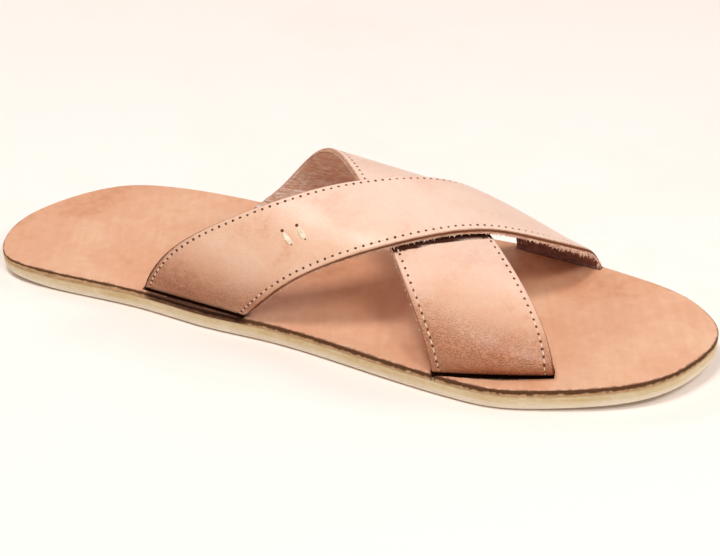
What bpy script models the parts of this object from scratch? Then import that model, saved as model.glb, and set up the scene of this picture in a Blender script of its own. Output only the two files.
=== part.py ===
"""Right-foot leather slide sandal: crepe outsole, leather insole and an upper of two crossed straps.

Lengths in the tables are millimetres. Along runs from the heel's end to the toe's end, lateral edges are
negative and medial edges positive, and heights on the last are measured from the top of the insole.
"""
import math

import bmesh
import bpy
import numpy as np

MM = 0.001
LENGTH = 280.0
CENTRE_ACROSS = -1.5      # middle of the finished width, moved to the origin
GAP = 0.3                 # space left between pieces that meet

OUTSOLE_THICK = 5.5
INSOLE_THICK = 2.8
INSOLE_BOTTOM = OUTSOLE_THICK + GAP
INSOLE_TOP = INSOLE_BOTTOM + INSOLE_THICK

SPRING = 4.0              # rise of the toe's end
SPRING_START = 0.72       # share of the length where the rise begins
HEEL_BEVEL = 3.5          # rise of the outsole's underside at the heel's end
HEEL_BEVEL_RUN = 38.0

RIM_STEPS = 120           # points round the sole, two to a station
STRAP_THICK = 2.4
TAB_THICK = 1.4           # skived end under the insole
TAB_LENGTH = 13.0
TAB_BEND = 2.2
STRAP_COLUMNS = 10
ARCH_ROWS = 40
TUCK_ROWS = 5
TUCK_SHARE = 0.10         # part of the girth between a slot and the widest point
SLOT_HEAD = 0.06          # girth share up to which a slot's cutter reaches
SOFTEN_PASSES = 6         # how far leather's stiffness rounds a sharp turn
ROUND_PASSES = 14         # more of it at the medial end of the upper strap
ROUND_FROM = 0.74         # girth share where that end begins

# Edge of the insole: along, lateral, medial
OUTLINE = (
    (6.0, -16.8, 22.5),
    (16.0, -22.0, 36.0),
    (30.0, -24.4, 47.0),
    (48.0, -26.0, 51.3),
    (70.0, -28.8, 51.2),
    (95.0, -34.0, 48.4),
    (120.0, -36.8, 45.8),
    (145.0, -42.0, 45.0),
    (170.0, -48.4, 45.6),
    (190.0, -52.7, 45.2),
    (207.0, -54.7, 42.8),
    (223.0, -52.2, 38.4),
    (240.0, -47.5, 32.2),
    (255.0, -41.5, 25.6),
    (267.0, -32.8, 17.5),
    (275.0, -22.0, 8.0),
)
HEEL_END = 2.0            # across, at the two ends
TOE_END = -6.0

# Side of a layer from its underside up: inset from the outline, share of the thickness
OUTSOLE_SIDE = ((1.8, 0.0), (0.7, 0.08), (0.15, 0.24), (0.0, 0.5), (0.3, 1.0))
INSOLE_SIDE = ((0.2, 0.0), (0.0, 0.2), (0.0, 0.74), (0.2, 0.92), (0.8, 1.0))

# Inside of the straps: along, height, ridge, lateral, medial, lateral fullness, medial fullness, widest at
LAST = (
    (70.0, 57.5, 7.0, -26.4, 46.0, 2.0, 2.0, 11.0),
    (110.0, 49.0, 5.5, -34.3, 43.2, 1.9, 2.0, 10.0),
    (150.0, 40.8, 2.0, -42.0, 43.0, 1.9, 2.0, 9.5),
    (190.0, 31.3, -1.0, -50.2, 41.5, 1.7, 1.8, 8.0),
    (230.0, 13.0, -5.0, -42.6, 32.2, 1.4, 1.5, 5.5),
)

# Edges of a strap from its lateral slot to its medial slot: girth share, rear edge, front edge
OVER_EDGES = (
    (0.0, 68.0, 110.5),
    (0.15, 79.0, 124.5),
    (0.33, 118.0, 161.5),
    (0.5, 152.5, 200.5),
    (0.67, 182.0, 222.5),
    (0.85, 196.5, 228.0),
    (1.0, 198.0, 232.0),
)
UNDER_EDGES = (
    (0.0, 185.0, 226.5),
    (0.15, 182.5, 226.0),
    (0.33, 165.0, 216.0),
    (0.5, 143.5, 191.5),
    (0.67, 124.5, 167.5),
    (0.85, 106.0, 142.0),
    (1.0, 89.0, 132.0),
)

# Middle lines of the straight slots, lateral then medial: along and across at the rear, then at the front
OVER_SLOTS = (((70.0, -24.3), (112.0, -32.6)), ((198.0, 41.6), (232.0, 33.2)))
UNDER_SLOTS = (((186.0, -48.6), (227.0, -38.8)), ((89.0, 43.5), (132.0, 39.8)))

# Where one strap rides over the other: girth share of the middle, and how far the rise reaches
CROSS_GIRTH = 0.48
CROSS_REACH = 0.245
JOIN_DEPTH = 0.35         # how far the upper strap sinks into the lower one at the join
JOIN_LIFT = 1.2           # how fast it stands clear away from the join

COLOURS = {
    "outsole": (0.72, 0.58, 0.34, 1.0),
    "insole": (0.78, 0.45, 0.28, 1.0),
    "upper": (0.80, 0.56, 0.42, 1.0),
}
ROUGHNESS = {"outsole": 0.7, "insole": 0.5, "upper": 0.55}


def spline(knots, values, at):
    """Natural cubic curve through the knots, read at the places given."""
    knots = np.asarray(knots, float)
    values = np.asarray(values, float)
    at = np.asarray(at, float)
    step = np.diff(knots)
    count = len(knots)
    system = np.eye(count)
    right = np.zeros(count)
    for i in range(1, count - 1):
        system[i, i - 1:i + 2] = step[i - 1], 2.0 * (step[i - 1] + step[i]), step[i]
        right[i] = 6.0 * ((values[i + 1] - values[i]) / step[i] - (values[i] - values[i - 1]) / step[i - 1])
    bend = np.linalg.solve(system, right)
    i = np.clip(np.searchsorted(knots, at) - 1, 0, count - 2)
    gap = step[i]
    before = at - knots[i]
    after = knots[i + 1] - at
    cubic = (bend[i] * after ** 3 + bend[i + 1] * before ** 3) / (6.0 * gap)
    left = (values[i] / gap - bend[i] * gap / 6.0) * after
    return cubic + left + (values[i + 1] / gap - bend[i + 1] * gap / 6.0) * before


def toe_rise(along):
    """Height that the toe spring adds at a place along the sole."""
    share = np.clip((along / LENGTH - SPRING_START) / (1.0 - SPRING_START), 0.0, None)
    return SPRING * share ** 2


def heel_rise(along):
    """Height of the outsole's underside above the ground at the heel."""
    return HEEL_BEVEL * np.clip(1.0 - along / HEEL_BEVEL_RUN, 0.0, None) ** 2


def sole_outline():
    """Points round the insole's edge, heel to toe on the lateral side and back on the medial side."""
    turn = [math.acos(1.0 - 2.0 * row[0] / LENGTH) for row in OUTLINE]
    knots = [0.0] + turn + [math.pi] + [2.0 * math.pi - t for t in reversed(turn)]
    across = [HEEL_END] + [row[1] for row in OUTLINE] + [TOE_END] + [row[2] for row in reversed(OUTLINE)]
    # the knots are repeated on both sides so that the curve closes smoothly
    wrapped = [k - 2.0 * math.pi for k in knots[-4:]] + knots + [k + 2.0 * math.pi for k in knots[:4]]
    at = 2.0 * math.pi * np.arange(RIM_STEPS) / RIM_STEPS
    y = spline(wrapped, across[-4:] + across + across[:4], at)
    x = 0.5 * LENGTH * (1.0 - np.cos(at))
    return np.column_stack([x, y])


def inset(outline, distance):
    """The outline moved inwards by a distance."""
    tangent = np.roll(outline, -1, axis=0) - np.roll(outline, 1, axis=0)
    tangent /= np.linalg.norm(tangent, axis=1)[:, None]
    inward = np.column_stack([-tangent[:, 1], tangent[:, 0]])
    return outline + inward * distance


def new_object(name, points, faces):
    """An object from points in millimetres, set about the origin."""
    mesh = bpy.data.meshes.new(name)
    moved = (np.asarray(points, float) - (LENGTH / 2.0, CENTRE_ACROSS, 0.0)) * MM
    mesh.from_pydata(moved.tolist(), [], faces)
    shape = bmesh.new()
    shape.from_mesh(mesh)
    bmesh.ops.recalc_face_normals(shape, faces=shape.faces)
    shape.to_mesh(mesh)
    shape.free()
    piece = bpy.data.objects.new(name, mesh)
    bpy.context.scene.collection.objects.link(piece)
    return piece


def cap_faces(first, flat_from, flat_to):
    """Faces across a rim: one flat face between two stations, and a strip for each station outside them."""
    half = RIM_STEPS // 2
    other = [first + (RIM_STEPS - k) % RIM_STEPS for k in range(half + 1)]
    side = [first + k for k in range(half + 1)]
    faces = []
    for k in range(half):
        if flat_from <= k < flat_to:
            continue
        corners = [side[k], side[k + 1], other[k + 1], other[k]]
        faces.append(list(dict.fromkeys(corners)))
    flat = side[flat_from:flat_to + 1] + other[flat_from:flat_to + 1][::-1]
    faces.append(list(dict.fromkeys(flat)))
    return faces


def sole_layer(name, side, bottom, top, bevelled):
    """A layer of the sole with the outline's plan, the toe spring and a shaped edge."""
    outline = sole_outline()
    points = []
    for distance, share in side:
        ring = inset(outline, distance)
        low = bottom + toe_rise(ring[:, 0])
        if bevelled:
            low = low + heel_rise(ring[:, 0])
        high = top + toe_rise(ring[:, 0])
        points.append(np.column_stack([ring, low + share * (high - low)]))
    faces = []
    for r in range(len(side) - 1):
        for k in range(RIM_STEPS):
            after = (k + 1) % RIM_STEPS
            a = r * RIM_STEPS
            b = a + RIM_STEPS
            faces.append([a + k, a + after, b + after, b + k])
    half = RIM_STEPS // 2
    rise_starts = int(np.argmax(points[0][:half + 1, 0] > SPRING_START * LENGTH)) - 1
    bevel_ends = int(np.argmax(points[0][:half + 1, 0] > HEEL_BEVEL_RUN)) if bevelled else 0
    faces += cap_faces(0, bevel_ends, rise_starts)
    faces += cap_faces((len(side) - 1) * RIM_STEPS, 0, rise_starts)
    return new_object(name, np.vstack(points), faces)


def last_value(column, along):
    """One column of the last's table, read along the sole."""
    stations = [row[0] for row in LAST]
    return spline(stations, [row[column] for row in LAST], np.clip(along, 50.0, 250.0))


def slot_line(slot, along):
    """Across position of a slot's middle line."""
    (x0, y0), (x1, y1) = slot
    return y0 + (y1 - y0) * (along - x0) / (x1 - x0)


def rise_over(girth, width):
    """How far the upper strap's inside stands off the last to pass over the lower strap."""
    reach = np.exp(-((girth - CROSS_GIRTH) / CROSS_REACH) ** 4)
    apart = ((girth - CROSS_GIRTH) / 0.13) ** 2 + ((width - 0.42) / 0.5) ** 2
    clear = JOIN_LIFT * np.minimum(apart, 1.2) - JOIN_DEPTH
    return reach * (STRAP_THICK + clear)


def strap_point(slots, along, girth, stand_off):
    """A point of a strap's middle layer, for a place along the sole and a share of the girth."""
    height, ridge, lateral, medial = (last_value(c, along) for c in (1, 2, 3, 4))
    widest = last_value(7, along)
    near_side = girth < 0.5
    edge = lateral - stand_off if near_side else medial + stand_off
    side = min(girth, 1.0 - girth) / TUCK_SHARE
    if side < 1.0:
        base = slot_line(slots[0 if near_side else 1], along)
        ease = math.sin(0.5 * math.pi * side)
        y = base + (edge - base) * ease
        z = widest * side
    else:
        power = 2.0 / last_value(5 if near_side else 6, along)
        angle = math.pi * (girth - TUCK_SHARE) / (1.0 - 2.0 * TUCK_SHARE)
        y = ridge + (edge - ridge) * abs(math.cos(angle)) ** power
        z = widest + (height + stand_off - widest) * max(math.sin(angle), 0.0) ** power
    return along, y, INSOLE_TOP + z + toe_rise(along)


def tab_rows(slots, along, side):
    """A strap's end below the insole's top, from the tab's end up to the slot."""
    inward = 1.0 if side == 0 else -1.0
    y = slot_line(slots[side], along)
    level = INSOLE_BOTTOM - 0.35 - TAB_THICK / 2.0 + toe_rise(along)
    rows = [(along, y + inward * TAB_LENGTH, level), (along, y + inward * 0.5 * TAB_LENGTH, level)]
    for step in range(5):
        angle = 0.5 * math.pi * step / 4.0
        across = y + inward * TAB_BEND * (1.0 - math.sin(angle))
        rows.append((along, across, level + TAB_BEND * (1.0 - math.cos(angle))))
    rows.append((along, y, 0.5 * (level + TAB_BEND + INSOLE_TOP + toe_rise(along))))
    return rows


TAB_ROW_THICKNESS = (TAB_THICK, TAB_THICK, TAB_THICK, 1.5, 1.7, 1.9, 2.1, 2.3)


def girth_rows():
    """Girth shares of a strap's rows between its slots, closer together where it tucks in."""
    tuck = [TUCK_SHARE * k / TUCK_ROWS for k in range(TUCK_ROWS)]
    arch = [TUCK_SHARE + (1.0 - 2.0 * TUCK_SHARE) * k / ARCH_ROWS for k in range(ARCH_ROWS + 1)]
    return tuck + arch + [1.0 - t for t in reversed(tuck)]


def soften(rows, passes):
    """Rounds sharp turns between a strip's two ends, as stiff leather does."""
    for _ in range(passes):
        middle = 0.25 * rows[:-2] + 0.5 * rows[1:-1] + 0.25 * rows[2:]
        rows = np.concatenate([rows[:1], middle, rows[-1:]])
    return rows


def strap_grid(edges, slots, over, margin=0.0):
    """Middle layer and thickness of a strap as a grid: rows along it, columns across its width."""
    girths = girth_rows()
    knots = [row[0] for row in edges]
    rear = spline(knots, [row[1] for row in edges], girths) - margin
    front = spline(knots, [row[2] for row in edges], girths) + margin
    columns = []
    for c in range(STRAP_COLUMNS + 1):
        width = c / STRAP_COLUMNS
        x = rear + (front - rear) * width
        arch = []
        for girth, along in zip(girths, x):
            lift = rise_over(girth, width) if over else 0.0
            arch.append(strap_point(slots, along, girth, 0.5 * STRAP_THICK + lift))
        ends = [tab_rows(slots, x[0], 0), tab_rows(slots, x[-1], 1)[::-1]]
        arch = soften(np.array(arch), SOFTEN_PASSES)
        if over:
            late = int(np.searchsorted(girths, ROUND_FROM)) - 1
            arch[late:] = soften(arch[late:], ROUND_PASSES)
        columns.append(np.vstack([ends[0], arch, ends[1]]))
    grid = np.array(columns).transpose(1, 0, 2)
    thickness = list(TAB_ROW_THICKNESS) + [STRAP_THICK] * len(girths) + list(reversed(TAB_ROW_THICKNESS))
    return grid, np.array(thickness) + 2.0 * margin


def sheet_solid(name, grid, thickness):
    """A closed solid from a grid of points and the thickness of each row."""
    along_row = np.gradient(grid, axis=0)
    across_row = np.gradient(grid, axis=1)
    normal = np.cross(across_row, along_row)
    normal /= np.linalg.norm(normal, axis=2)[:, :, None]
    half = 0.5 * thickness[:, None, None] * normal
    rows, columns = grid.shape[:2]
    points = np.vstack([(grid + half).reshape(-1, 3), (grid - half).reshape(-1, 3)])
    inner = rows * columns
    faces = []
    for r in range(rows - 1):
        for c in range(columns - 1):
            a = r * columns + c
            b = a + columns
            faces.append([a, a + 1, b + 1, b])
            faces.append([inner + a, inner + b, inner + b + 1, inner + a + 1])
    rim = [(0, c) for c in range(columns)] + [(r, columns - 1) for r in range(1, rows)]
    rim += [(rows - 1, c) for c in range(columns - 2, -1, -1)] + [(r, 0) for r in range(rows - 2, 0, -1)]
    ring = [r * columns + c for r, c in rim]
    for a, b in zip(ring, ring[1:] + ring[:1]):
        faces.append([a, inner + a, inner + b, b])
    return new_object(name, points, faces)


def slot_cutters(name, edges, slots, over):
    """Two cutters with clearance all round: one for each end of a strap, slot and tab together."""
    grid, thickness = strap_grid(edges, slots, over, GAP)
    low = len(TAB_ROW_THICKNESS) + sum(1 for g in girth_rows() if g <= SLOT_HEAD)
    cutters = []
    for label, rows in (("lateral", slice(0, low)), ("medial", slice(len(grid) - low, len(grid)))):
        part = grid[rows].copy()
        end, behind = (0, 1) if label == "lateral" else (-1, -2)
        reach = part[end] - part[behind]
        part[end] += GAP * reach / np.linalg.norm(reach, axis=1)[:, None]
        cutter = sheet_solid(f"{name}_{label}_cutter", part, thickness[rows])
        cutter.hide_render = True
        cutter.display_type = "WIRE"
        cutters.append(cutter)
    return cutters


def combine(piece, other, operation):
    """Adds a Boolean of another object to a piece."""
    change = piece.modifiers.new(operation.title(), "BOOLEAN")
    change.operation = operation
    change.object = other
    change.solver = "EXACT"


def bake(piece, helpers):
    """Makes a piece's modifiers part of its mesh and removes the helpers."""
    bpy.context.view_layer.update()
    shown = piece.evaluated_get(bpy.context.evaluated_depsgraph_get())
    mesh = bpy.data.meshes.new_from_object(shown)
    piece.modifiers.clear()
    piece.data = mesh
    mesh.name = piece.name
    for helper in helpers:
        bpy.data.objects.remove(helper, do_unlink=True)


def finish(piece, sharp_degrees):
    """Gives a piece its material and smooth shading with sharp cut edges."""
    material = bpy.data.materials.new(piece.name)
    material.use_nodes = True
    shader = material.node_tree.nodes["Principled BSDF"]
    shader.inputs["Base Color"].default_value = COLOURS[piece.name]
    shader.inputs["Roughness"].default_value = ROUGHNESS[piece.name]
    piece.data.materials.clear()
    piece.data.materials.append(material)
    piece.data.shade_smooth()
    piece.data.set_sharp_from_angle(angle=math.radians(sharp_degrees))


def main():
    """Builds the three pieces."""
    for old in list(bpy.data.objects):
        bpy.data.objects.remove(old, do_unlink=True)

    outsole = sole_layer("outsole", OUTSOLE_SIDE, 0.0, OUTSOLE_THICK, True)
    insole = sole_layer("insole", INSOLE_SIDE, INSOLE_BOTTOM, INSOLE_TOP, False)

    upper = sheet_solid("upper", *strap_grid(UNDER_EDGES, UNDER_SLOTS, False))
    over = sheet_solid("over_strap", *strap_grid(OVER_EDGES, OVER_SLOTS, True))
    combine(upper, over, "UNION")
    bake(upper, [over])

    cutters = slot_cutters("over", OVER_EDGES, OVER_SLOTS, True)
    cutters += slot_cutters("under", UNDER_EDGES, UNDER_SLOTS, False)
    for cutter in cutters:
        combine(insole, cutter, "DIFFERENCE")
        combine(outsole, cutter, "DIFFERENCE")
    bake(insole, [])
    bake(outsole, cutters)

    finish(outsole, 40.0)
    finish(insole, 40.0)
    finish(upper, 50.0)


main()
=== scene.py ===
"""Looks of a right-foot leather slide sandal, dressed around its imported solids.

Lengths in the tables are millimetres. Along runs from the heel's end to the toe's end, lateral edges are
negative and medial edges positive, and heights on the last are measured from the top of the insole.
"""

import logging
import math
from dataclasses import dataclass, field
from enum import Enum
from typing import Any

import bmesh
import bpy
import numpy as np
from mathutils import Matrix, Vector, noise


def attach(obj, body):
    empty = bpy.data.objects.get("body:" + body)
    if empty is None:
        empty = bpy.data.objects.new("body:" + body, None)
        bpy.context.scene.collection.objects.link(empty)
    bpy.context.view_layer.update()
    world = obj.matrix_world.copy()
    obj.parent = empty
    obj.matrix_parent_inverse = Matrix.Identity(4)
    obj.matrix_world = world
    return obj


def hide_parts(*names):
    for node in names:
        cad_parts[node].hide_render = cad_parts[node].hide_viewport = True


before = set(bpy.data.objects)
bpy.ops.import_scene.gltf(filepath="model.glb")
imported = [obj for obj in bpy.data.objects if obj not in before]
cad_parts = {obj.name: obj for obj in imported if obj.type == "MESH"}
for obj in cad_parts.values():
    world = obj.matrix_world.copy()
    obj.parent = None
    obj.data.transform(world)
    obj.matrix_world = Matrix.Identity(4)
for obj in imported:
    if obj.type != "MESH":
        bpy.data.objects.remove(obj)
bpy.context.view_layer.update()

MM = 0.001
log = logging.getLogger("sandal")

Colour = tuple[float, float, float, float]


class Side(Enum):
    """Side of the foot that a strap's end is on."""

    LATERAL = 0
    MEDIAL = 1

    @property
    def sign(self) -> float:
        """1 on the lateral side and -1 on the medial one."""
        return 1.0 if self is Side.LATERAL else -1.0


class Face(Enum):
    """Faces of a leather piece, in the order of its material slots."""

    GRAIN = 0
    EDGE = 1
    FLESH = 2


class TackFace(Enum):
    """Faces of a thread tack, in the order of its material slots."""

    THREAD = 0
    HOLE = 1


class LastColumn(Enum):
    """Columns of the last's table."""

    HEIGHT = 1
    RIDGE = 2
    LATERAL = 3
    MEDIAL = 4
    LATERAL_FULLNESS = 5
    MEDIAL_FULLNESS = 6
    WIDEST = 7


class PathShape(Enum):
    """What is repeated along a sewing line."""

    THREAD = "thread"
    HOLE = "hole"
    FIBRE = "fibre"


def colour(red: int, green: int, blue: int) -> Colour:
    """Turns a screen colour of 0 to 255 into the linear colour that shaders use.

    Args:
        red: Red on the screen.
        green: Green on the screen.
        blue: Blue on the screen.

    Returns:
        Linear red, green and blue, with an alpha of one.
    """
    def linear(value: int) -> float:
        """One channel in linear light."""
        share = value / 255.0
        return share / 12.92 if share <= 0.04045 else ((share + 0.055) / 1.055) ** 2.4

    return linear(red), linear(green), linear(blue), 1.0


def natural_spline(knots: np.ndarray, values: np.ndarray, at: np.ndarray) -> np.ndarray:
    """Reads a natural cubic curve through knots.

    Args:
        knots: Rising places of the knots.
        values: Value at each knot, a number or a point.
        at: Places to read the curve at.

    Returns:
        One value for each place.
    """
    knots, values, at = (np.asarray(a, float) for a in (knots, values, at))
    flat = values.reshape(len(knots), -1)
    step = np.diff(knots)
    system = np.eye(len(knots))
    right = np.zeros_like(flat)
    slope = np.diff(flat, axis=0) / step[:, None]
    for i in range(1, len(knots) - 1):
        system[i, i - 1:i + 2] = step[i - 1], 2.0 * (step[i - 1] + step[i]), step[i]
        right[i] = 6.0 * (slope[i] - slope[i - 1])
    bend = np.linalg.solve(system, right)
    i = np.clip(np.searchsorted(knots, at) - 1, 0, len(knots) - 2)
    gap = step[i][..., None]
    before = (at - knots[i])[..., None]
    after = (knots[i + 1] - at)[..., None]
    cubic = (bend[i] * after ** 3 + bend[i + 1] * before ** 3) / (6.0 * gap)
    left = (flat[i] / gap - bend[i] * gap / 6.0) * after
    curve = cubic + left + (flat[i + 1] / gap - bend[i + 1] * gap / 6.0) * before
    return curve.reshape(at.shape + values.shape[1:])


def unit(vectors: np.ndarray) -> np.ndarray:
    """Vectors made one long."""
    return vectors / np.linalg.norm(vectors, axis=-1, keepdims=True)


def ripple(points: np.ndarray, scale: float, seed: float) -> np.ndarray:
    """Smooth noise between about -1 and 1 at each point.

    Args:
        points: Points in millimetres, in the last axis.
        scale: Waves in a millimetre.
        seed: Shift that makes one pattern differ from another.

    Returns:
        One value for each point.
    """
    flat = np.asarray(points, float).reshape(-1, 3) * scale + seed
    values = np.array([noise.noise(Vector(p)) for p in flat])
    return values.reshape(np.asarray(points).shape[:-1])


def eased(share: np.ndarray) -> np.ndarray:
    """Shares cut off at 0 and 1, with a soft start and end."""
    share = np.clip(share, 0.0, 1.0)
    return share * share * (3.0 - 2.0 * share)


def tube_faces(rows: int, around: int, first: int = 0, closed: bool = True) -> list[list[int]]:
    """Faces of a tube whose points come row by row.

    Args:
        rows: Number of rows.
        around: Points in a row.
        first: Number of the tube's first point in the mesh.
        closed: Whether each end gets a face.

    Returns:
        The wall's faces row by row, then the two ends.
    """
    faces = []
    for r in range(rows - 1):
        for c in range(around):
            a, b = first + r * around + c, first + r * around + (c + 1) % around
            faces.append([a, b, b + around, a + around])
    if closed:
        last = first + (rows - 1) * around
        faces += [list(range(first, first + around))[::-1], list(range(last, last + around))]
    return faces


class Nodes:
    """Short way to add and join nodes in one tree."""

    def __init__(self, tree: bpy.types.NodeTree) -> None:
        """Keeps the tree that nodes go into."""
        self.tree = tree

    def add(self, kind: str, inputs: dict[Any, Any] | None = None, **settings: Any) -> bpy.types.Node:
        """Adds a node.

        Args:
            kind: Blender's name of the node type.
            inputs: Values or sockets for the node's inputs, by name or number.
            **settings: The node's own settings.

        Returns:
            The new node.
        """
        node = self.tree.nodes.new(kind)
        for name, value in settings.items():
            setattr(node, name, value)
        for name, value in (inputs or {}).items():
            self.feed(node.inputs[name], value)
        return node

    def feed(self, socket: bpy.types.NodeSocket, value: Any) -> None:
        """Joins a socket to an input, or sets the input's value."""
        if isinstance(value, bpy.types.NodeSocket):
            self.tree.links.new(value, socket)
        else:
            socket.default_value = value

    def calc(self, operation: str, a: Any, b: Any = 0.0, clamp: bool = False) -> bpy.types.NodeSocket:
        """Result of a Math node."""
        return self.add("ShaderNodeMath", {0: a, 1: b}, operation=operation, use_clamp=clamp).outputs[0]

    def weigh(self, share: float, a: bpy.types.NodeSocket, b: bpy.types.NodeSocket) -> bpy.types.NodeSocket:
        """A share of one value and the rest of another."""
        return self.calc("ADD", self.calc("MULTIPLY", a, share), self.calc("MULTIPLY", b, 1.0 - share))

    def vector(self, operation: str, inputs: dict[Any, Any]) -> bpy.types.NodeSocket:
        """Result of a Vector Math node."""
        return self.add("ShaderNodeVectorMath", inputs, operation=operation).outputs[0]

    def blend(self, share: Any, a: Any, b: Any, kind: str = "MIX") -> bpy.types.NodeSocket:
        """Result of mixing two colours."""
        mix = self.add("ShaderNodeMix", {0: share, 6: a, 7: b}, data_type="RGBA", blend_type=kind)
        return mix.outputs[2]

    def spread(self, value: Any, low: Any, high: Any, to_low: float = 0.0, to_high: float = 1.0) -> Any:
        """A value eased from one range to another."""
        limits = {"Value": value, "From Min": low, "From Max": high, "To Min": to_low, "To Max": to_high}
        return self.add("ShaderNodeMapRange", limits, interpolation_type="SMOOTHSTEP").outputs[0]

    def named(self, name: str, kind: str = "FLOAT") -> bpy.types.NodeSocket:
        """One of the geometry's own attributes, in Geometry Nodes."""
        return self.add("GeometryNodeInputNamedAttribute", {"Name": name}, data_type=kind).outputs[0]

    def noise(self, place: Any, scale: Any, detail: float, rough: float = 0.5, twist: float = 0.0) -> Any:
        """Value of a Noise Texture."""
        inputs = {"Vector": place, "Scale": scale, "Detail": detail, "Roughness": rough, "Distortion": twist}
        return self.add("ShaderNodeTexNoise", inputs).outputs[0]


class Effects:
    """Shader node groups that more than one finish uses, each built once.

    A ratio is a scale as a multiple of the group's own, and a stretch draws a pattern out along one axis.
    """

    cloud_share: float = 0.7
    fleck_ratio: float = 9.0
    streak_ratio: float = 15.0
    streak_turn: float = -0.27
    streak_stretch: float = 0.09
    warp_ratio: float = 0.5
    warp_depth: float = 0.0012
    pore_ratio: float = 2.4
    pore_depth: float = 0.22
    front_scale: float = 420.0
    front_swing: float = 0.65
    fibre_stretch: float = 0.22
    speck_ratio: float = 1.9
    strand_share: float = 0.65

    def __init__(self) -> None:
        """Builds the groups."""
        self.mottle = self._mottle()
        self.grain = self._grain()
        self.stain = self._stain()
        self.fibres = self._fibres()

    @staticmethod
    def _group(name: str, inputs: dict[str, str], outputs: dict[str, str]) -> tuple[Nodes, Any, Any]:
        """Starts a group with named sockets.

        Args:
            name: Name of the group.
            inputs: Socket type of each input, by name.
            outputs: Socket type of each output, by name.

        Returns:
            The group's nodes, its input node and its output node.
        """
        tree = bpy.data.node_groups.new(name, "ShaderNodeTree")
        for label, kind in inputs.items():
            tree.interface.new_socket(label, in_out="INPUT", socket_type=f"NodeSocket{kind}")
        for label, kind in outputs.items():
            tree.interface.new_socket(label, in_out="OUTPUT", socket_type=f"NodeSocket{kind}")
        nodes = Nodes(tree)
        return nodes, nodes.add("NodeGroupInput"), nodes.add("NodeGroupOutput")

    def _mottle(self) -> bpy.types.NodeTree:
        """Uneven tone of hide: broad clouds with small flecks."""
        sockets = {"Place": "Vector", "Scale": "Float", "Streak": "Float", "Light": "Color", "Middle": "Color",
                   "Dark": "Color"}
        nodes, given, result = self._group("hide_mottle", sockets, {"Colour": "Color", "Cloud": "Float"})
        place, scale = given.outputs["Place"], given.outputs["Scale"]
        clouds = nodes.noise(place, scale, 4.0, 0.55, 0.4)
        flecks = nodes.noise(place, nodes.calc("MULTIPLY", scale, self.fleck_ratio), 5.0, 0.65)
        tone = nodes.weigh(self.cloud_share, clouds, flecks)
        dark = nodes.blend(nodes.spread(tone, 0.34, 0.50), given.outputs["Dark"], given.outputs["Middle"])
        light = nodes.blend(nodes.spread(tone, 0.48, 0.66), dark, given.outputs["Light"])
        turned = nodes.add("ShaderNodeVectorRotate", {"Vector": place, "Angle": self.streak_turn},
                           rotation_type="Z_AXIS").outputs[0]
        drawn = nodes.vector("MULTIPLY", {0: turned, 1: (1.0, self.streak_stretch, 1.0)})
        streaks = nodes.noise(drawn, nodes.calc("MULTIPLY", scale, self.streak_ratio), 4.0)
        streaked = nodes.calc("MULTIPLY", nodes.spread(streaks, 0.62, 0.40), given.outputs["Streak"])
        nodes.feed(result.inputs["Colour"], nodes.blend(streaked, light, given.outputs["Dark"]))
        nodes.feed(result.inputs["Cloud"], tone)
        return nodes.tree

    def _grain(self) -> bpy.types.NodeTree:
        """Pebbled grain with pores."""
        sockets = {"Place": "Vector", "Scale": "Float", "Pebble": "Float"}
        nodes, given, result = self._group("hide_grain", sockets, {"Height": "Float", "Pore": "Float"})
        place, scale = given.outputs["Place"], given.outputs["Scale"]
        warp = nodes.add("ShaderNodeTexNoise", {
            "Vector": place, "Scale": nodes.calc("MULTIPLY", scale, self.warp_ratio)})
        bent = nodes.vector("MULTIPLY_ADD", {0: warp.outputs["Color"], 1: (self.warp_depth,) * 3, 2: place})
        cells = nodes.add("ShaderNodeTexVoronoi", {"Vector": bent, "Scale": scale}, feature="DISTANCE_TO_EDGE")
        pebbles = nodes.spread(cells.outputs["Distance"], 0.0, 0.35)
        pores = nodes.noise(place, nodes.calc("MULTIPLY", scale, self.pore_ratio), 3.0, 0.6)
        rough = nodes.calc("MULTIPLY", pores, self.pore_depth)
        height = nodes.calc("MULTIPLY_ADD", pebbles, given.outputs["Pebble"])
        nodes.feed(height.node.inputs[2], rough)
        nodes.feed(result.inputs["Height"], height)
        nodes.feed(result.inputs["Pore"], nodes.spread(pores, 0.30, 0.46))
        return nodes.tree

    def _stain(self) -> bpy.types.NodeTree:
        """Colour that soaks in from an edge: whole up to the core's share of the reach, with an uneven front."""
        sockets = {"Place": "Vector", "Base": "Color", "Stain": "Color", "Distance": "Float", "Reach": "Float",
                   "Core": "Float", "Ragged": "Float", "Strength": "Float"}
        nodes, given, result = self._group("edge_stain", sockets, {"Colour": "Color", "Mask": "Float"})
        uneven = nodes.noise(given.outputs["Place"], self.front_scale, 4.0, 0.6)
        swing = nodes.spread(uneven, 0.25, 0.75, -self.front_swing, self.front_swing)
        vary = nodes.calc("MULTIPLY", swing, given.outputs["Ragged"])
        reach = nodes.calc("MULTIPLY", given.outputs["Reach"], nodes.calc("ADD", vary, 1.0))
        core = nodes.calc("MULTIPLY", reach, given.outputs["Core"])
        away = nodes.spread(given.outputs["Distance"], core, reach)
        mask = nodes.calc("MULTIPLY", nodes.calc("SUBTRACT", 1.0, away), given.outputs["Strength"])
        nodes.feed(result.inputs["Colour"], nodes.blend(mask, given.outputs["Base"], given.outputs["Stain"]))
        nodes.feed(result.inputs["Mask"], mask)
        return nodes.tree

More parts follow.
